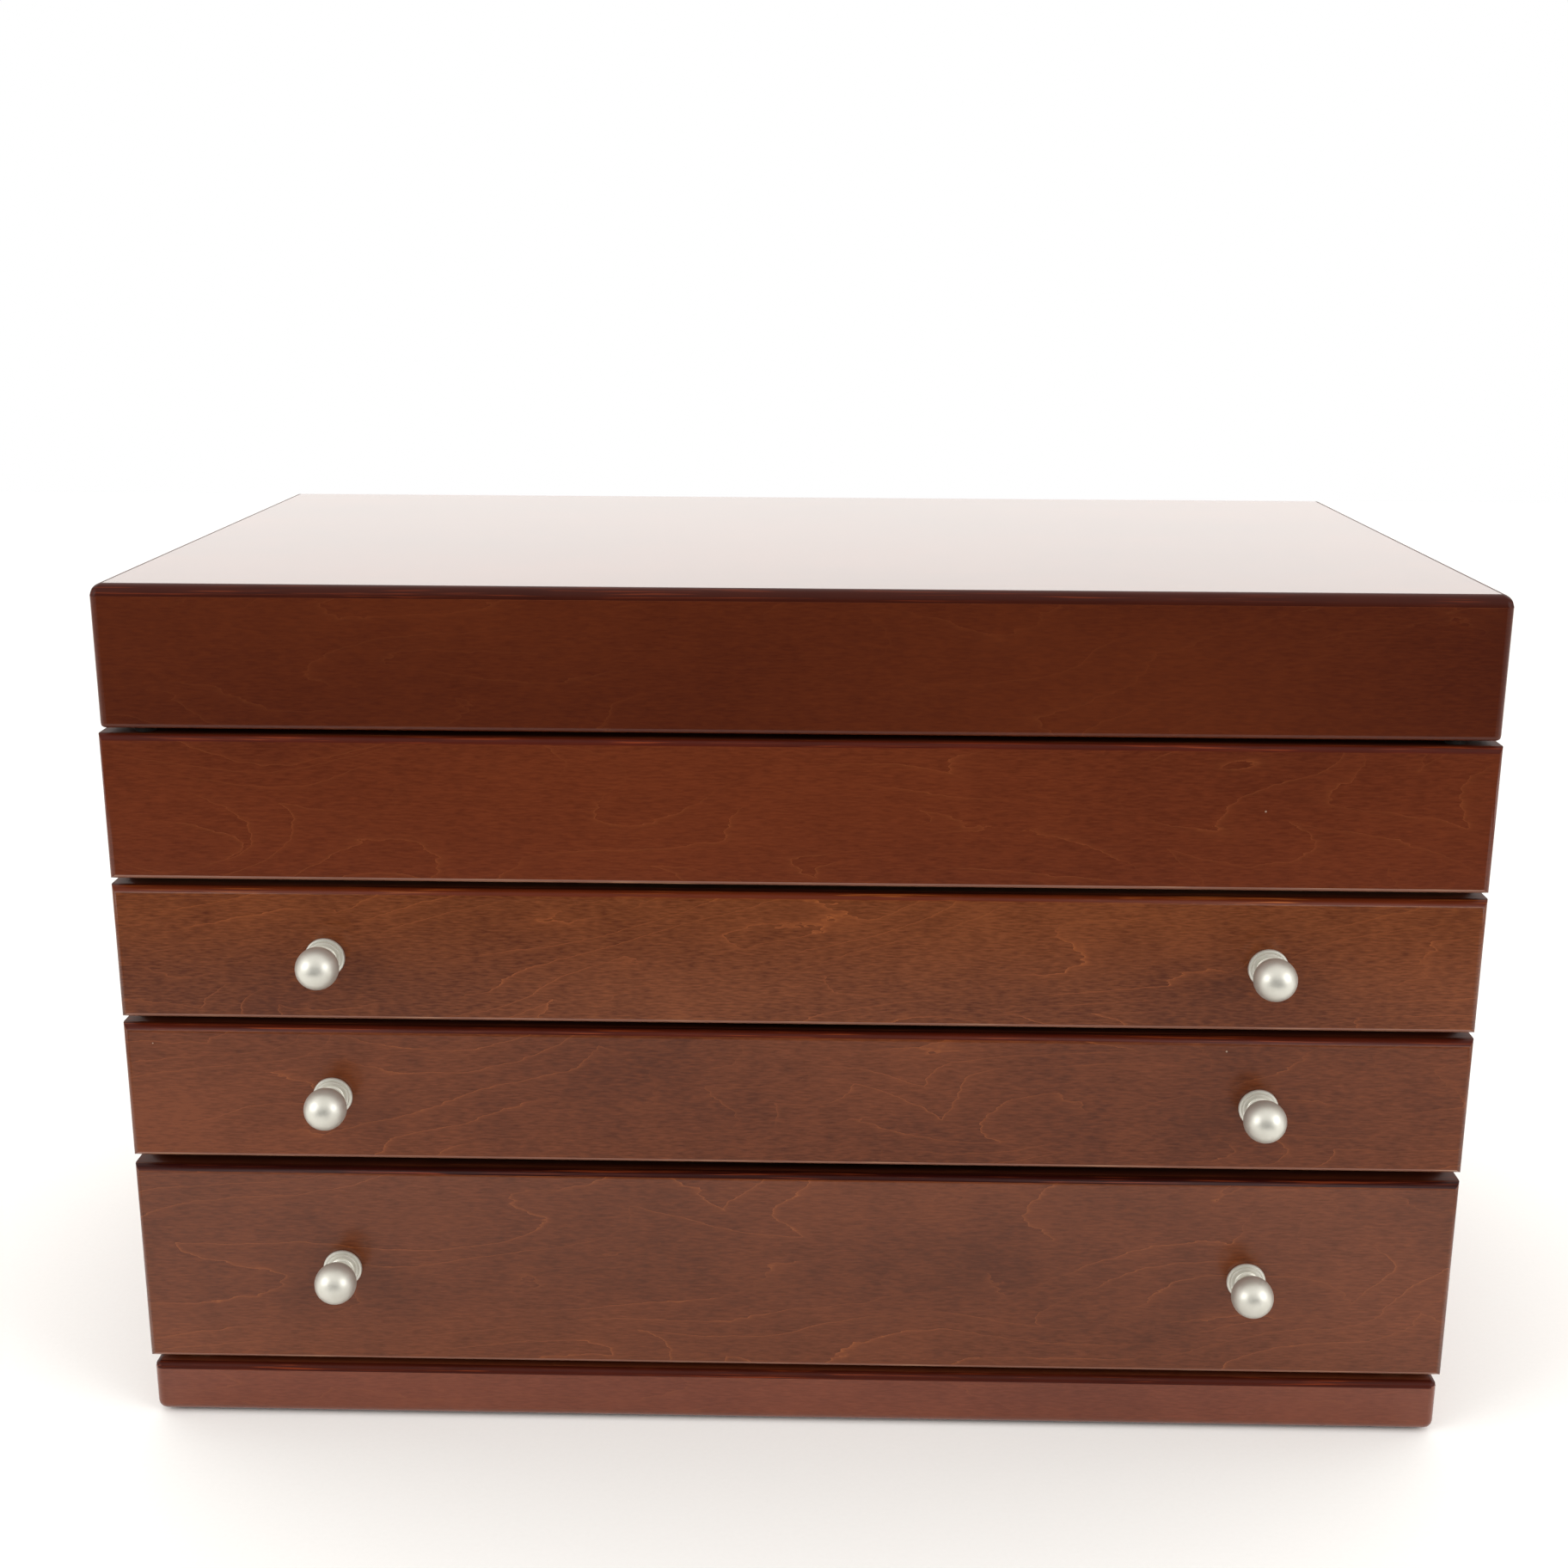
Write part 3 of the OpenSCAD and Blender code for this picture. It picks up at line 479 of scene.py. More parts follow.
def reshade(piece):
    """Flat faces stay flat and round edges smooth, after a cut has spoiled their shading."""
    pick(piece)
    bpy.ops.mesh.customdata_custom_splitnormals_clear()
    bpy.ops.object.shade_smooth_by_angle(angle=math.radians(38))
    apply_modifier(piece, "WEIGHTED_NORMAL", keep_sharp=True)


SIDE_RADII = {"back": 2.5, "top": 0.4, "front": 0.3}
side_edge = stained_edge("stained_edge_sides", 2.0, along="Z")
back_low, back_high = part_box("back_panel")
for side, seed in (("left", 2.0), ("right", 3.0)):
    board = block("case_side_" + side, *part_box(side + "_side"))
    board.data.materials.append(
        lacquered_birch("stained_birch_side_" + side, seed, along="Y", stain=("6d3019", "4f200e"),
                        figure=0.5))
    board.data.materials.append(side_edge)
    ease(board, {f"{side} {end}": radius for end, radius in SIDE_RADII.items()})
    # the rebate that the back board is let into
    cut_away(board, block("waste", (back_low.x, back_low.y, 0),
                          (back_high.x, REAR_Y + RAIL, back_high.z + RAIL)))
    reshade(board)
    finish(board, "case", "face_veneer", [side + "_side"])

# The back board keeps the two shallow housings that the hinge leaves lie in.
back_veneer = lacquered_birch("stained_birch_back", 4.0, stain=("6a3018", "4a1f0e"), figure=0.4,
                              spacing=30.0)


def refinish(name, material):
    """A piece whose frame shape is already right only takes its material."""
    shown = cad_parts[name]
    shown.data.materials.clear()
    shown.data.materials.append(material)


refinish("back_panel", back_veneer)


# ---- Fixed front ----
# The front of the top compartment, a solid board that is glued on. It looks like a drawer's front
# without knobs, with the same round-over along its top edge.

FRONT_RADII = {"front top": 2.8, "front low": 1.4, "front left": 2, "front right": 2}
fixed_front = block("fixed_front", *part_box("false_front"))
fixed_front.data.materials.append(
    lacquered_birch("stained_birch_fixed_front", 17.2, stain=("6a2f16", "501f0c"), figure=0.42,
                    spacing=22.0, blotch=0.3))
fixed_front.data.materials.append(
    stained_edge("stained_edge_fixed_front", 5.0, stain=("5a1d0c", "3a1007")))
ease(fixed_front, FRONT_RADII)


# slots for the painted shade in the gaps and the painted reflection of the floor on the low edge
UNSPRAYED_SHADE_SLOT, PAINTED_REFLECTION_SLOT = 2, 3
LEVEL = 0.97  # the least upward or downward lean of a face that is left matt and painted darker as the shade in the gaps
LEANS_DOWN = -0.1  # the least downward lean of the low edge that is painted pale as the floor's reflection


def paint_gap_shade_and_edge_reflection(front):
    """The spray hardly reaches the top and the underside of a front, which stay matt and are
    painted darker as the shade in the gaps between the fronts. The low edge of the face is painted
    pale as a reflection of the white floor."""
    for face in front.data.polygons:
        if abs(face.normal.z) > LEVEL:
            face.material_index = UNSPRAYED_SHADE_SLOT
        elif face.normal.z < LEANS_DOWN and face.normal.y < 0:
            face.material_index = PAINTED_REFLECTION_SLOT


# Painted shade: a darker, matt stain on the tops and undersides of the fronts, standing in for the
# shade in the gaps between them.
unsprayed_painted_shade = stained_edge("stained_birch_unsprayed_painted_shade", 14.0, stain=("4e2010", "33140a"),
                         streak="6e3418", coat=0.0)
# Painted reflection: a pale band on the low round-over of each face, standing in for the white
# floor mirrored there.
painted_floor_reflection = stained_edge("stained_birch_painted_reflection", 15.0, stain=("885642", "704634"), streak="b08464",
                      coat=1.0)
fixed_front.data.materials.append(unsprayed_painted_shade)
fixed_front.data.materials.append(painted_floor_reflection)
shelf_low, shelf_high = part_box("tray_floor")
cut_away(fixed_front, block("waste", shelf_low - Vector((0, 0, RAIL)), shelf_high))
reshade(fixed_front)
paint_gap_shade_and_edge_reflection(fixed_front)
finish(fixed_front, "case", "face_veneer", ["false_front"])


# ---- Shelves ----
# Thin plain birch ply, let into grooves in the sides: the floor of the top compartment, and the two
# panels that the upper and middle drawers run on.

def plain_birch(name, seed, along="X", pale="d3b892", dark="b99870"):
    """Birch that was only sanded and sealed. The eye sees pale straw wood with short brown flecks
    along the grain and soft wavy bands, and a dull surface."""
    made, tree, out = new_material(name)
    lengths = grain_measure(tree, along, (seed * 4.1, seed * 3.3, seed * 6.7))
    fibres = add_node(tree, "ShaderNodeTexNoise", None,
                      {"Vector": lengths(12, 0.8), "Scale": 1.0, "Detail": 3.0})
    bands = add_node(tree, "ShaderNodeTexNoise", None,
                     {"Vector": lengths(140, 9), "Scale": 1.0, "Detail": 2.0, "Distortion": 0.4})
    flecks = add_node(tree, "ShaderNodeTexNoise", None,
                      {"Vector": lengths(3.5, 0.5), "Scale": 1.0, "Detail": 1.0})
    fleck = add_node(tree, "ShaderNodeMapRange", {"interpolation_type": "SMOOTHSTEP"},
                     {"Value": flecks.outputs["Fac"], "From Min": 0.66, "From Max": 0.76,
                      "To Max": 0.45})
    grainy = add_node(tree, "ShaderNodeMath", {"operation": "MULTIPLY_ADD"},
                      {0: fibres.outputs["Fac"], 1: 0.7, 2: bands.outputs["Fac"]})
    amount = add_node(tree, "ShaderNodeMapRange", None,
                      {"Value": grainy.outputs[0], "From Min": 0.55, "From Max": 1.15})
    body = add_node(tree, "ShaderNodeMix", {"data_type": "RGBA"},
                    {0: amount.outputs["Result"], 6: linear(pale), 7: linear(dark)})
    colour = add_node(tree, "ShaderNodeMix", {"data_type": "RGBA"},
                      {0: fleck.outputs["Result"], 6: body.outputs[2], 7: linear("8a6238")})
    relief = add_node(tree, "ShaderNodeBump", None,
                      {"Strength": 0.4, "Distance": 0.00006, "Height": fibres.outputs["Fac"]})
    rough = add_node(tree, "ShaderNodeMapRange", None,
                     {"Value": fibres.outputs["Fac"], "To Min": 0.5, "To Max": 0.68})
    skin = add_node(tree, "ShaderNodeBsdfPrincipled", None,
                    {"Base Color": colour.outputs[2], "Roughness": rough.outputs["Result"],
                     "Specular IOR Level": 0.4, "Normal": relief.outputs[0]})
    tree.links.new(skin.outputs[0], out.inputs[0])
    return made


birch_ply = plain_birch("sealed_birch_ply", 1.0)
for name in ("tray_floor", "upper_dust_panel", "lower_dust_panel"):
    refinish(name, birch_ply)


# ---- Top compartment ----
# A tray of card covered in champagne velvet, dropped in on the shelf, with velvet-wrapped card
# dividers standing in it and a block of foam rolls between them for rings.

def velvet(name, pile, deep, brushed="e6d8c3"):
    """Short-pile velvet on card or foam. The eye sees a soft matt pile with cloudy patches where it
    was stroked the other way, and a pale bloom where it curves away."""
    made, tree, out = new_material(name)
    place = add_node(tree, "ShaderNodeTexCoord")
    # the pile stands about 0.2 mm apart, drawn at 0.9 mm so that it shows
    tufts = add_node(tree, "ShaderNodeTexNoise", None,
                     {"Vector": place.outputs["Object"], "Scale": 1100.0, "Detail": 3.0})
    standing = add_node(tree, "ShaderNodeMapRange", None,
                        {"Value": tufts.outputs["Fac"], "From Min": 0.34, "From Max": 0.66})
    strokes = add_node(tree, "ShaderNodeTexNoise", None,
                       {"Vector": place.outputs["Object"], "Scale": 34.0, "Detail": 2.0,
                        "Distortion": 0.3})
    stroked = add_node(tree, "ShaderNodeMapRange", {"interpolation_type": "SMOOTHSTEP"},
                       {"Value": strokes.outputs["Fac"], "From Min": 0.3, "From Max": 0.75,
                        "To Max": 0.5})
    body = add_node(tree, "ShaderNodeMix", {"data_type": "RGBA"},
                    {0: standing.outputs["Result"], 6: linear(deep), 7: linear(pile)})
    colour = add_node(tree, "ShaderNodeMix", {"data_type": "RGBA"},
                      {0: stroked.outputs["Result"], 6: body.outputs[2], 7: linear(pile)})
    relief = add_node(tree, "ShaderNodeBump", None,
                      {"Strength": 0.6, "Distance": 0.0004, "Height": tufts.outputs["Fac"]})
    rough = add_node(tree, "ShaderNodeMapRange", None,
                     {"Value": strokes.outputs["Fac"], "To Min": 0.8, "To Max": 1.0})
    skin = add_node(tree, "ShaderNodeBsdfPrincipled", None,
                    {"Base Color": colour.outputs[2], "Roughness": rough.outputs["Result"],
                     "Specular IOR Level": 0.1, "Normal": relief.outputs[0],
                     "Sheen Weight": 0.55, "Sheen Roughness": 0.35,
                     "Sheen Tint": linear(brushed)})
    tree.links.new(skin.outputs[0], out.inputs[0])
    return made


champagne_velvet = velvet("champagne_velvet", "c3ad90", "8a7156")
LINING = 1.5 * MM  # card and velvet together
PILE_ROUND = 0.55 * MM


def liner(name, low, high, open_side="top"):
    """A thin box with one side open, its wall turned inwards and its edges softened by the pile."""
    made = block(name, low, high)
    shape = bmesh.new()
    shape.from_mesh(made.data)
    bmesh.ops.delete(shape, geom=[f for f in shape.faces if facing(f.normal, open_side)],
                     context="FACES")
    shape.to_mesh(made.data)
    shape.free()
    apply_modifier(made, "SOLIDIFY", thickness=LINING, offset=-1, use_even_offset=True)
    pick(made)
    bpy.ops.object.shade_smooth()
    apply_modifier(made, "BEVEL", width=PILE_ROUND, limit_method="ANGLE", segments=3,
                   harden_normals=True)
    return made


tray = liner("tray_liner", *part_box("tray_lining"))
finish(tray, "case", "velvet", ["tray_lining"], champagne_velvet)


def solids(name):
    """The corners of each separate solid of a CAD node, from left to right."""
    shape = bmesh.new()
    shape.from_mesh(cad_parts[name].data)
    bmesh.ops.remove_doubles(shape, verts=shape.verts, dist=1e-6)
    left, found = set(shape.verts), []
    while left:
        reached, waiting = set(), [left.pop()]
        while waiting:
            vert = waiting.pop()
            reached.add(vert)
            near = {edge.other_vert(vert) for edge in vert.link_edges} & left
            left -= near
            waiting.extend(near)
        places = [v.co.copy() for v in reached]
        found.append((Vector([min(p[i] for p in places) for i in range(3)]),
                      Vector([max(p[i] for p in places) for i in range(3)])))
    shape.free()
    return sorted(found, key=lambda corners: [round(c, 5) for c in corners[0]])


def joined(name, parts):
    """Several loose parts as one piece."""
    nothing_selected()
    for part in parts:
        part.select_set(True)
    bpy.context.view_layer.objects.active = parts[0]
    bpy.ops.object.join()
    parts[0].name = parts[0].data.name = name
    return parts[0]


STRIP_ROUND = 1.4
STRIP_END_ROUND = 0.5


def wrapped_boards(name, node):
    """Each divider is a card strip wrapped in velvet, so its top edge is round."""
    boards = []
    for low, high in solids(node):
        board = block("strip", low, high)
        runs_deep = high.y - low.y > high.x - low.x
        over, ends = ("left", "right"), ("front", "back")
        if not runs_deep:
            over, ends = ends, over
        radii = {f"{side} top": STRIP_ROUND for side in over}
        radii.update({f"{end} top": STRIP_END_ROUND for end in ends})
        ease(board, radii, edge_slot=-1, steps=4)
        boards.append(board)
    return joined(name, boards)


tray_strips = wrapped_boards("tray_divider_strips", "tray_dividers")
finish(tray_strips, "case", "velvet", ["tray_dividers"], champagne_velvet)

# One ring roll is blown up in a cloth simulation, ten times as large, and copied along the row.
roll_velvet = velvet("champagne_velvet_rolls", "cab496", "8f775c")
BIGGER = 10
ROLL_TOP_ROUND = 7.6
ROLL_END_ROUND = 2.5
ROLL_FOOT_ROUND = 1.5
VOXEL = 1.5 * MM * BIGGER
GLUED_UP_TO = 1.2 * MM * BIGGER
SWELLING_STEPS = 20
roll_boxes = sorted(solids("ring_rolls"), key=lambda corners: corners[0].y)
roll_low, roll_high = roll_boxes[0]
roll_size = roll_high - roll_low
ROLL_SLACK = Vector((0.6, 0.45, 0.5)) * MM  # how much smaller the foam is before it swells
roll = block("ring_roll_01", Vector((-roll_size.x / 2, -roll_size.y / 2, 0)) + ROLL_SLACK,
             Vector((roll_size.x / 2, roll_size.y / 2, roll_size.z)) - ROLL_SLACK)
roll.data.transform(Matrix.Translation((0, 0, -ROLL_SLACK.z)))
roll_radii = all_round(upright=ROLL_FOOT_ROUND)
for side in ("front", "back"):
    roll_radii.update({side + " top": ROLL_TOP_ROUND, side + " low": ROLL_FOOT_ROUND})
for end in ("left", "right"):
    roll_radii[end + " top"] = ROLL_END_ROUND
ease(roll, roll_radii, edge_slot=-1, steps=8)
roll.data.transform(Matrix.Scale(BIGGER, 4))
apply_modifier(roll, "REMESH", mode="VOXEL", voxel_size=VOXEL, use_smooth_shade=True)
# thin stretchy velvet, glued down along its foot and blown up by the foam
before = [v.co.copy() for v in roll.data.vertices]
held = roll.vertex_groups.new(name="glued")
held.add([v.index for v in roll.data.vertices if v.co.z < GLUED_UP_TO], 1, "REPLACE")
cloth = roll.modifiers.new("cloth", "CLOTH")
cloth.settings.quality = 6
cloth.settings.mass = 0.3
cloth.settings.tension_stiffness = 10
cloth.settings.compression_stiffness = 10
cloth.settings.bending_stiffness = 0.3
cloth.settings.use_pressure = True
cloth.settings.uniform_pressure_force = 4
cloth.settings.shrink_min = -0.06
cloth.settings.vertex_group_mass = "glued"
cloth.settings.effector_weights.gravity = 0
cloth.point_cache.frame_start = 1
cloth.point_cache.frame_end = SWELLING_STEPS
for step in range(1, SWELLING_STEPS + 1):
    bpy.context.scene.frame_set(step)
pick(roll)
bpy.ops.object.modifier_apply(modifier="cloth")
bpy.context.scene.frame_set(1)
MOST = 0.42 * MM * BIGGER  # as far as the velvet may swell without touching the next roll
for vert, start in zip(roll.data.vertices, before):
    moved = vert.co - start
    if moved.length > MOST:
        moved *= MOST / moved.length
    vert.co = start + moved
    vert.co.z = max(vert.co.z, 0)
roll.vertex_groups.clear()
roll.data.transform(Matrix.Scale(1 / BIGGER, 4))
pick(roll)
bpy.ops.object.shade_smooth()
roll.data.materials.append(roll_velvet)
rolls = [roll]
for number in range(1, len(roll_boxes)):
    copy = bpy.data.objects.new(f"ring_roll_{number + 1:02d}", roll.data.copy())
    bpy.context.scene.collection.objects.link(copy)
    rolls.append(copy)
for number, (piece, (low, high)) in enumerate(zip(rolls, roll_boxes)):
    # every other roll is turned end for end, so that the same creases don't line up
    turn = Matrix.Rotation(math.pi if number % 2 else 0, 4, "Z")
    middle = Vector(((low.x + high.x) / 2, (low.y + high.y) / 2, low.z))
    piece.data.transform(Matrix.Translation(middle) @ turn)
    finish(piece, "case", "velvet_rolls", ["ring_rolls"])


# ---- Drawers ----
# Three plain birch boxes with stained, lacquered fronts. Each is lined like the top compartment;
# the upper one has ten small cells, the middle one three, and the lower one is open.

drawer_birch = plain_birch("sealed_birch_boxes", 3.0, along="Y")
drawer_back_birch = plain_birch("sealed_birch_backs", 4.0, along="X")
# the stain, figure and lacquer that make each front look a little unlike the others
FRONTS = {
    "upper": {"seed": 6.0, "stain": ("763f20", "502410"), "figure": 0.9, "spacing": 9.0,
              "fibre": 1.5, "coat": 0.46,
              "edge": ("6c2a10", "4a1a09"), "streak": "b4622a"},
    "middle": {"seed": 7.6, "stain": ("703a1f", "4c2311"), "figure": 0.7, "spacing": 10.0,
               "fibre": 1.2, "coat": 0.46,
               "edge": ("561c0c", "381008"), "streak": "8e3e1a"},
    "lower": {"seed": 8.3, "stain": ("723b1f", "4f2511"), "figure": 0.7, "spacing": 15.0,
              "fibre": 1.0, "coat": 0.72,
              "edge": ("380e08", "1f0604"), "streak": "7a3216"},
}
for drawer, looks in FRONTS.items():
    body = drawer + "_drawer"
    face = block(drawer + "_face", *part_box(drawer + "_front"))
    face.data.materials.append(
        lacquered_birch("stained_birch_" + drawer, looks["seed"], stain=looks["stain"],
                        figure=looks["figure"], spacing=looks["spacing"],
                        fibre=looks["fibre"], coat=looks["coat"]))
    face.data.materials.append(
        stained_edge("stained_edge_" + drawer, looks["seed"], stain=looks["edge"],
                     streak=looks["streak"]))
    face.data.materials.append(unsprayed_painted_shade)
    face.data.materials.append(painted_floor_reflection)
    ease(face, FRONT_RADII)
    paint_gap_shade_and_edge_reflection(face)
    finish(face, body, "face_veneer", [drawer + "_front"])
    for part in ("_left_side", "_right_side", "_bottom"):
        refinish(drawer + part, drawer_birch)
    refinish(drawer + "_back", drawer_back_birch)
    lining = liner(drawer + "_liner", *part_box(drawer + "_lining"))
    finish(lining, body, "velvet", [drawer + "_lining"], champagne_velvet)
    if drawer + "_dividers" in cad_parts:
        strips = wrapped_boards(drawer + "_divider_strips", drawer + "_dividers")
        finish(strips, body, "velvet", [drawer + "_dividers"], champagne_velvet)


# ---- Knobs ----
# Turned brass balls on a short neck and a round, stepped foot, plated in satin nickel, each held by
# one machine screw from inside the drawer.

def satin_nickel(name, bright, dull, rough, metal=1.0):
    """Nickel plate over bead-blasted metal, milky with clear lacquer where metal is below 1. The
    eye sees a pale grey metal with soft highlights and the lathe's faint rings."""
    made, tree, out = new_material(name)
    place = add_node(tree, "ShaderNodeTexCoord")
    # lathe rings 0.24 mm apart, blasting 0.19 mm across, and wear in patches of 4 mm
    turned_rings = add_node(tree, "ShaderNodeMapping", None,
                            {"Vector": place.outputs["Object"], "Scale": (90, 4200, 90)})
    rings = add_node(tree, "ShaderNodeTexNoise", None,
                     {"Vector": turned_rings.outputs[0], "Scale": 1.0, "Detail": 2.0})
    blasted = add_node(tree, "ShaderNodeTexNoise", None,
                       {"Vector": place.outputs["Object"], "Scale": 5200.0, "Detail": 2.0})
    worn = add_node(tree, "ShaderNodeTexNoise", None,
                    {"Vector": place.outputs["Object"], "Scale": 260.0, "Detail": 3.0})
    surface = add_node(tree, "ShaderNodeMath", {"operation": "MULTIPLY_ADD"},
                       {0: blasted.outputs["Fac"], 1: 0.6, 2: rings.outputs["Fac"]})
    colour = add_node(tree, "ShaderNodeMix", {"data_type": "RGBA"},
                      {0: worn.outputs["Fac"], 6: linear(dull), 7: linear(bright)})
    relief = add_node(tree, "ShaderNodeBump", None,
                      {"Strength": 0.25, "Distance": 0.00002, "Height": surface.outputs[0]})
    dullness = add_node(tree, "ShaderNodeMapRange", None,
                        {"Value": surface.outputs[0], "From Min": 0.4, "From Max": 1.2,
                         "To Min": rough - 0.05, "To Max": rough + 0.07})
    skin = add_node(tree, "ShaderNodeBsdfPrincipled", None,
                    {"Base Color": colour.outputs[2], "Metallic": metal,
                     "Roughness": dullness.outputs["Result"], "Normal": relief.outputs[0]})
    tree.links.new(skin.outputs[0], out.inputs[0])
    return made


knob_nickel = satin_nickel("satin_nickel_plate", "dcdad1", "cbc9be", 0.43, metal=0.75)
screw_zinc = satin_nickel("bright_zinc_screws", "c9ccd0", "b2b5b8", 0.25)
BALL_R = 6.35
BALL_OUT = 10.45  # from the drawer's front to the middle of the ball
NECK_R = 3.3
# half of the foot's and the neck's section, as radius and height above the drawer's front in mm
section = [(0, 0), (5.1, 0), (5.75, 0.25), (6.0, 0.75), (6.0, 1.15), (5.85, 1.45), (5.45, 1.6),
           (5.05, 1.6), (5.05, 1.7), (5.15, 1.8), (5.15, 1.95), (5.0, 2.2), (4.7, 2.3),
           (3.85, 2.3), (3.75, 2.4), (3.75, 2.8), (3.65, 2.9), (NECK_R, 2.95)]
start = math.asin(NECK_R / BALL_R)
BALL_STEPS = 22
for step in range(BALL_STEPS + 1):
    turn = start + (math.pi - start) * step / BALL_STEPS
    section.append((BALL_R * math.sin(turn) if step < BALL_STEPS else 0,
                    BALL_OUT - BALL_R * math.cos(turn)))


LATHE_STEPS = 56


def turned(name, outline):
    """Drawn as half a section from a single point, then spun round the Y axis at the origin."""
    nothing_selected()
    bpy.ops.mesh.primitive_plane_add(size=0.001, location=(0, 0, 0))
    made = bpy.context.object
    made.name = made.data.name = name
    bpy.ops.object.mode_set(mode="EDIT")
    bpy.ops.mesh.select_mode(type="VERT")
    bpy.ops.mesh.select_all(action="SELECT")
    bpy.ops.mesh.merge(type="CENTER")
    bpy.ops.transform.translate(value=(outline[0][0] * MM, -outline[0][1] * MM, 0))
    for (r0, h0), (r1, h1) in zip(outline, outline[1:]):
        bpy.ops.mesh.extrude_region_move(
            TRANSFORM_OT_translate={"value": ((r1 - r0) * MM, (h0 - h1) * MM, 0)})
    bpy.ops.mesh.select_all(action="SELECT")
    bpy.ops.mesh.spin(steps=LATHE_STEPS, angle=2 * math.pi, center=(0, 0, 0), axis=(0, 1, 0))
    bpy.ops.mesh.select_all(action="SELECT")
    bpy.ops.mesh.remove_doubles(threshold=1e-6)
    bpy.ops.mesh.normals_make_consistent(inside=False)
    bpy.ops.object.mode_set(mode="OBJECT")
    pick(made)
    bpy.ops.object.shade_smooth_by_angle(angle=math.radians(40))
    return made


first_knob = turned("knob", section)
first_knob.data.materials.append(knob_nickel)
for drawer in FRONTS:
    body = drawer + "_drawer"
    for side in ("left", "right"):
        low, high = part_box(f"{drawer}_{side}_knob")
        knob = bpy.data.objects.new(f"{drawer}_{side}_ball_knob", first_knob.data.copy())
        bpy.context.scene.collection.objects.link(knob)
        knob.data.transform(Matrix.Translation(
            ((low.x + high.x) / 2, FRONT_Y, (low.z + high.z) / 2)))
        finish(knob, body, "satin_nickel", [f"{drawer}_{side}_knob"])
    refinish(drawer + "_knob_screws", screw_zinc)
bpy.data.objects.remove(first_knob)


# ---- Lid ----
# Four mitred rails with a thick top board let in between them. The board's lip laps over the rails
# and is rounded all round, so its darker solid wood shows as a band along the lid's top edge.

def edit(piece):
    """Opens a piece for editing with nothing in it selected."""
    pick(piece)
    bpy.ops.object.mode_set(mode="EDIT")
    bpy.ops.mesh.select_mode(type="FACE")
    bpy.ops.mesh.select_all(action="DESELECT")


def select_faces(piece, *chosen):
    """Selects the faces that look towards any of the sides named."""
    bpy.ops.object.mode_set(mode="OBJECT")
    for face in piece.data.polygons:
        face.select = any(facing(face.normal, side) for side in chosen)
    bpy.ops.object.mode_set(mode="EDIT")


def hold_slots(piece, count):
    """Empty material slots, so that a piece can be shaped before its finishes are chosen."""
    for _ in range(count):
        piece.data.materials.append(None)


lid_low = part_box("lid_front_rail")[0]
lid_top_low, lid_top_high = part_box("lid_top")
LIP = 3.5 * MM
LIP_ROUND = 3.4
LID_CORNER_ROUND = 2.5
LID_LOW_ROUND = 1.4
lip_z = lid_top_high.z - LIP
lid_board = block("lid_board", (-CASE_HALF, FRONT_Y, lip_z), (CASE_HALF, REAR_Y, lid_top_high.z))
hold_slots(lid_board, 2)
ease(lid_board, all_round(upright=LID_CORNER_ROUND, top=LIP_ROUND), steps=7, upward_only=False)
edit(lid_board)
select_faces(lid_board, "low")
bpy.ops.mesh.inset(thickness=RAIL, depth=0)
bpy.ops.mesh.extrude_region_move(TRANSFORM_OT_translate={"value": (0, 0, lid_top_low.z - lip_z)})
bpy.ops.object.mode_set(mode="OBJECT")
lid_veneer = lacquered_birch("stained_birch_lid_top", 9.0, stain=("6a3319", "4e2210"), figure=0.45,
                             spacing=26.0, coat=1.0)
lid_band = stained_edge("stained_edge_lid", 9.0, stain=("471a0d", "300f08"), streak="6e2c14",
                        coat=0.14)
finish(lid_board, "lid", "solid_edge_wood", ["lid_top"], lid_veneer, lid_band)

rail_frame = block("rail_frame", (-CASE_HALF, FRONT_Y, lid_low.z), (CASE_HALF, REAR_Y, lip_z))
hold_slots(rail_frame, 4)
ease(rail_frame, all_round(low=LID_LOW_ROUND, upright=LID_CORNER_ROUND))
cut_away(rail_frame, block("waste", (RAIL - CASE_HALF, FRONT_Y + RAIL, lid_low.z - RAIL),
                           (CASE_HALF - RAIL, REAR_Y - RAIL, lip_z + RAIL)))
lid_veneers = {
    "front": lacquered_birch("stained_birch_lid_front", 10.0, stain=("5c2710", "45190a"),
                             figure=0.16, spacing=24.0, blotch=0.3, fibre=0.9, coat=0.5),
    "back": lacquered_birch("stained_birch_lid_back", 11.0, stain=("63290f", "481b0b"),
                            figure=0.4),
    "left": lacquered_birch("stained_birch_lid_left", 12.0, along="Y",
                            stain=("672c15", "4b1d0d"), figure=0.4),
    "right": lacquered_birch("stained_birch_lid_right", 13.0, along="Y",
                             stain=("672c15", "4b1d0d"), figure=0.4),
}
rail_edge = stained_edge("stained_edge_rails", 10.0, stain=("4a160b", "300c06"))
# the mitres, as the corner each plane passes through and the way to the wood that is kept
MITRES = {
    "front": (((-1, -1), (1, -1)), ((1, -1), (-1, -1))),
    "back": (((-1, 1), (1, 1)), ((1, 1), (-1, 1))),
    "left": (((-1, -1), (-1, 1)), ((-1, 1), (-1, -1))),
    "right": (((1, -1), (1, 1)), ((1, 1), (1, -1))),
}
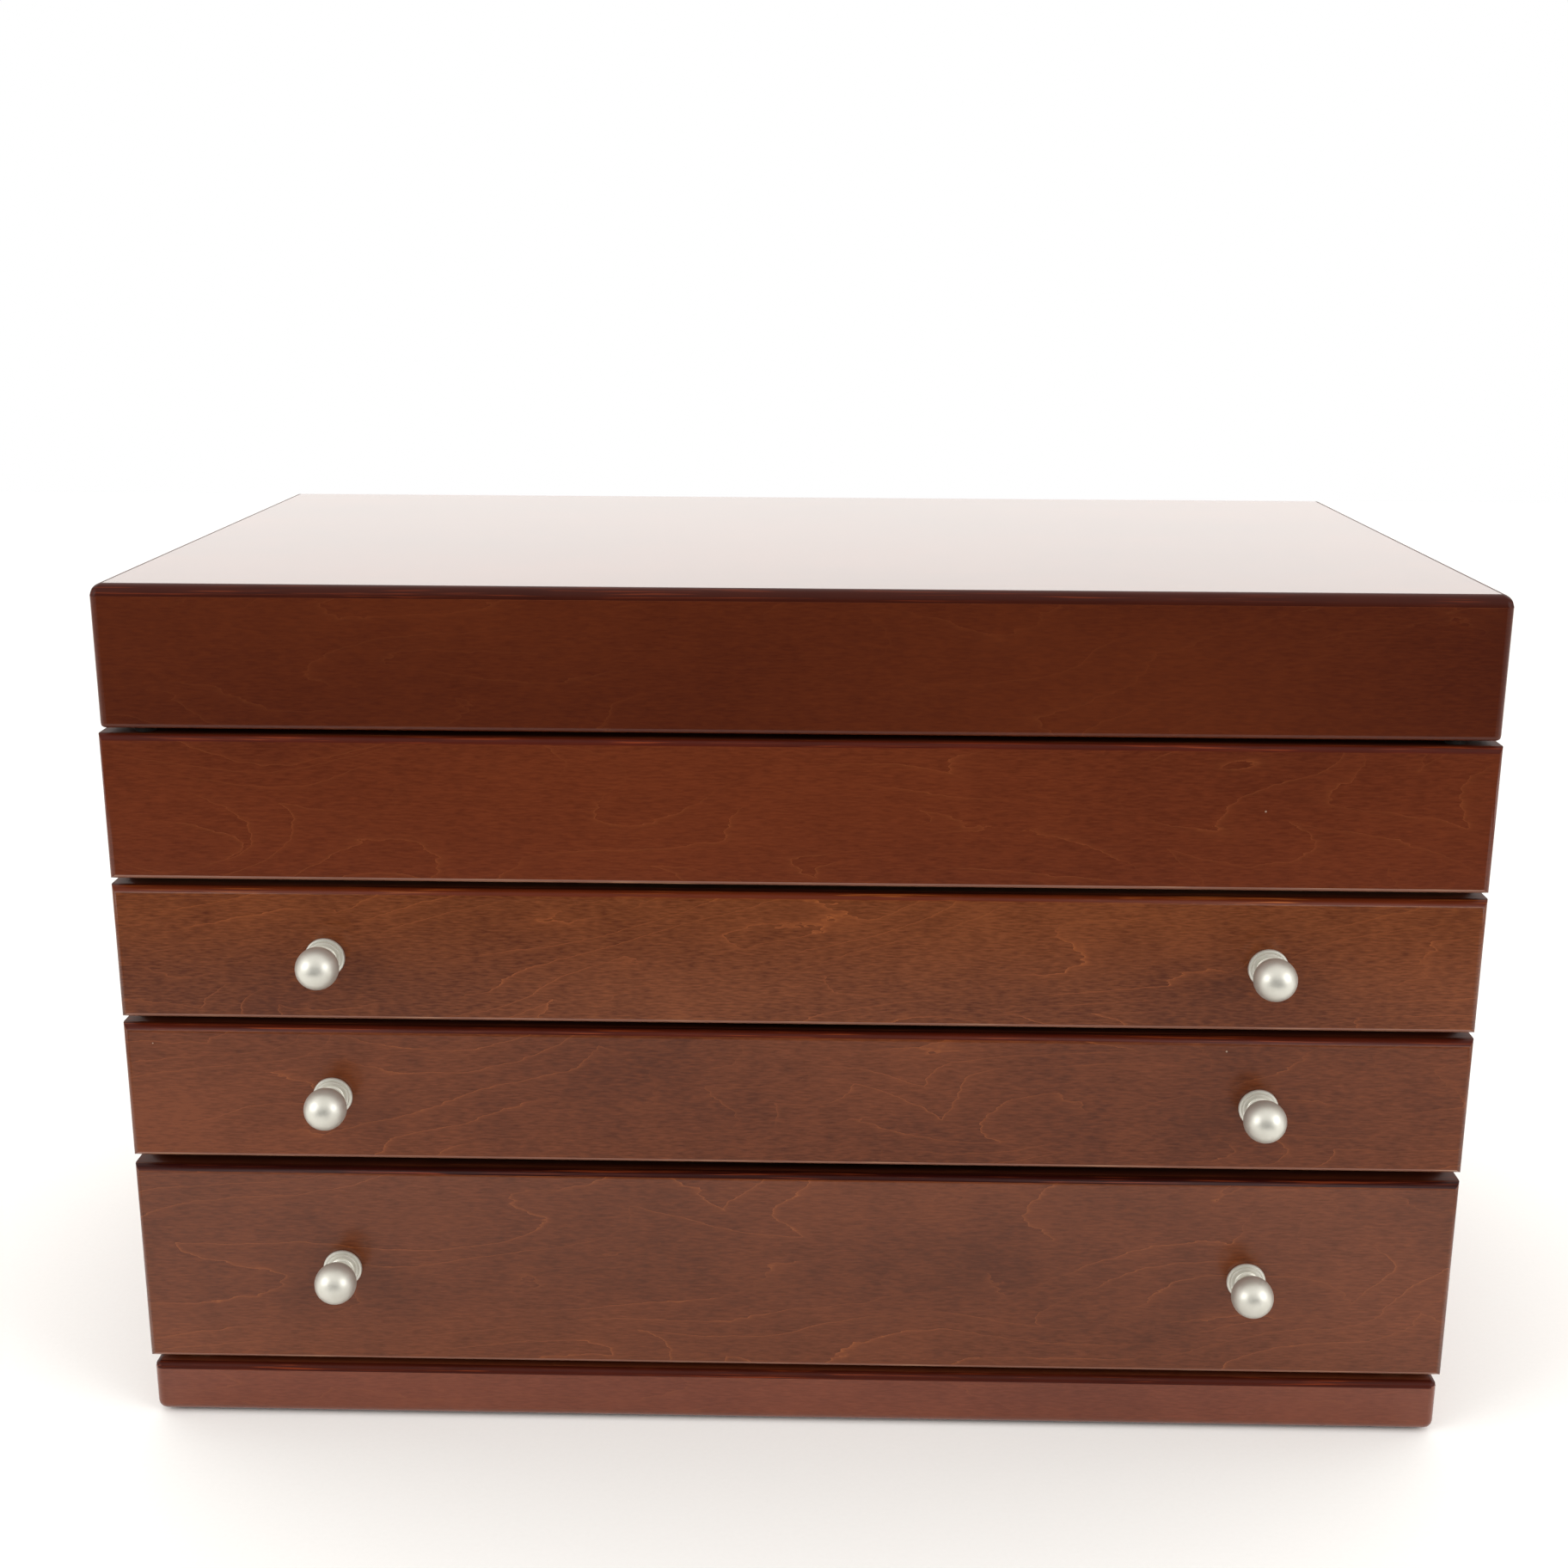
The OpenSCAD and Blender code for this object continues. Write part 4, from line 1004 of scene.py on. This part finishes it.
# the housings of the hinge leaves in the back rail
HINGE_X = 125 * MM
HINGE_HALF = 19 * MM
LEAF_IN = 8 * MM
LEAF_UP = 0.35 * MM
for side, mitres in MITRES.items():
    rail = bpy.data.objects.new(f"lid_{side}_board", rail_frame.data.copy())
    bpy.context.scene.collection.objects.link(rail)
    edit(rail)
    for corner, keep in mitres:
        bpy.ops.mesh.select_all(action="SELECT")
        bpy.ops.mesh.bisect(plane_co=(corner[0] * CASE_HALF, corner[1] * REAR_Y, 0),
                            plane_no=(keep[0], keep[1], 0), use_fill=True, clear_inner=True)
    bpy.ops.object.mode_set(mode="OBJECT")
    if side == "back":
        for x in (-HINGE_X, HINGE_X):
            cut_away(rail, block("waste", (x - HINGE_HALF, REAR_Y - LEAF_IN, lid_low.z - LEAF_IN),
                                 (x + HINGE_HALF, REAR_Y + LEAF_IN, lid_low.z + LEAF_UP)))
    reshade(rail)
    paint_gap_shade_and_edge_reflection(rail)
    # the lid's low edge gets no painted reflection of the floor, so the veneer takes that slot too
    finish(rail, "lid", "face_veneer", [f"lid_{side}_rail"], lid_veneers[side], rail_edge,
           unsprayed_painted_shade, lid_veneers[side])
bpy.data.objects.remove(rail_frame)


# ---- Inside of the lid ----
# A velvet lining on card, and over it a bevelled mirror held in a velvet-wrapped frame. Two felt
# discs near the front corners keep the lid off the case.

lid_liner = liner("lid_liner", *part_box("lid_lining"), open_side="low")
finish(lid_liner, "lid", "velvet", ["lid_lining"], champagne_velvet)

glass_low, glass_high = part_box("mirror")
GLASS_EDGE = 16 * MM  # width of the bevel
GLASS_RISE = 1.07 * MM  # how far the bevel climbs on its way to the rim
mirror = block("bevelled_mirror", glass_low, glass_high)
edit(mirror)
select_faces(mirror, "low")
bpy.ops.mesh.inset(thickness=GLASS_EDGE, depth=0)
bpy.ops.object.mode_set(mode="OBJECT")
for vert in mirror.data.vertices:
    rim = (abs(vert.co.x) > glass_high.x - MM) or (abs(vert.co.y) > glass_high.y - MM)
    vert.select = rim and vert.co.z < glass_low.z + MM
bpy.ops.object.mode_set(mode="EDIT")
bpy.ops.mesh.select_mode(type="VERT")
bpy.ops.transform.translate(value=(0, 0, GLASS_RISE))
bpy.ops.object.mode_set(mode="OBJECT")
# Silvered float glass, bevelled and polished. The eye sees a bright mirror with a green-grey cast
# and a few faint wiping marks.
silvered, tree, out = new_material("silvered_glass")
place = add_node(tree, "ShaderNodeTexCoord")
wipes = add_node(tree, "ShaderNodeMapping", None,
                 {"Vector": place.outputs["Object"], "Rotation": (0, 0, 0.5),
                  "Scale": (12, 70, 12)})
marks = add_node(tree, "ShaderNodeTexNoise", None,
                 {"Vector": wipes.outputs[0], "Scale": 1.0, "Detail": 4.0, "Distortion": 0.6})
smear = add_node(tree, "ShaderNodeMapRange", {"interpolation_type": "SMOOTHSTEP"},
                 {"Value": marks.outputs["Fac"], "From Min": 0.45, "From Max": 0.8,
                  "To Min": 0.015, "To Max": 0.07})
cast = add_node(tree, "ShaderNodeMix", {"data_type": "RGBA"},
                {0: marks.outputs["Fac"], 6: linear("e3ebe8"), 7: linear("dbe2df")})
skin = add_node(tree, "ShaderNodeBsdfPrincipled", None,
                {"Base Color": cast.outputs[2], "Metallic": 1.0,
                 "Roughness": smear.outputs["Result"]})
tree.links.new(skin.outputs[0], out.inputs[0])
finish(mirror, "lid", "mirror_glass", ["mirror"], silvered)

frame_low, frame_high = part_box("mirror_frame")
SIGHT = 26 * MM  # width of the frame's bars
REBATE = 21.5 * MM  # from the frame's outside to the rebate that the glass lies in
GLASS_GAP = 0.5 * MM
WRAP_ROUND = 0.9 * MM
wrap = block("mirror_surround", frame_low, frame_high)
cut_away(wrap, block("waste", (frame_low.x + SIGHT, frame_low.y + SIGHT, frame_low.z - SIGHT),
                     (frame_high.x - SIGHT, frame_high.y - SIGHT, frame_high.z + SIGHT)))
cut_away(wrap, block("waste", (frame_low.x + REBATE, frame_low.y + REBATE,
                               glass_low.z - GLASS_GAP),
                     (frame_high.x - REBATE, frame_high.y - REBATE, frame_high.z + REBATE)))
pick(wrap)
bpy.ops.object.shade_smooth()
apply_modifier(wrap, "BEVEL", width=WRAP_ROUND, limit_method="ANGLE", segments=4,
               harden_normals=True)
finish(wrap, "lid", "velvet", ["mirror_frame"], champagne_velvet)

grey_felt = pressed_felt("charcoal_felt", "161311", "2a2623")
DISC_ROUND = 0.35 * MM
discs = []
for low, high in solids("lid_bumpers"):
    nothing_selected()
    bpy.ops.mesh.primitive_cylinder_add(vertices=40, radius=(high.x - low.x) / 2,
                                        depth=high.z - low.z, location=(low + high) / 2)
    disc = settled(bpy.context.object)
    bpy.ops.object.shade_smooth()
    apply_modifier(disc, "BEVEL", width=DISC_ROUND, limit_method="ANGLE", segments=3,
                   harden_normals=True)
    discs.append(disc)
bumpers = joined("felt_bumpers", discs)
finish(bumpers, "lid", "bumper_felt", ["lid_bumpers"], grey_felt)


# ---- Hinges ----
# Two nickel-plated butt hinges with five knuckles, whose tails meet behind the lid and stop it
# a little past upright. Each leaf is let in and held by three countersunk screws.

hinge_nickel = satin_nickel("nickel_plated_steel", "d0cdc6", "b4b0a8", 0.26)
for side in ("left", "right"):
    for part in ("case_leaf", "lid_leaf", "pin"):
        refinish(f"{side}_hinge_{part}", hinge_nickel)
# the screws are plated apart from the hinges and come out darker
screw_nickel = satin_nickel("nickel_plated_screws", "a8a49b", "88847b", 0.3)
for name in ("case_hinge_screws", "lid_hinge_screws"):
    refinish(name, screw_nickel)
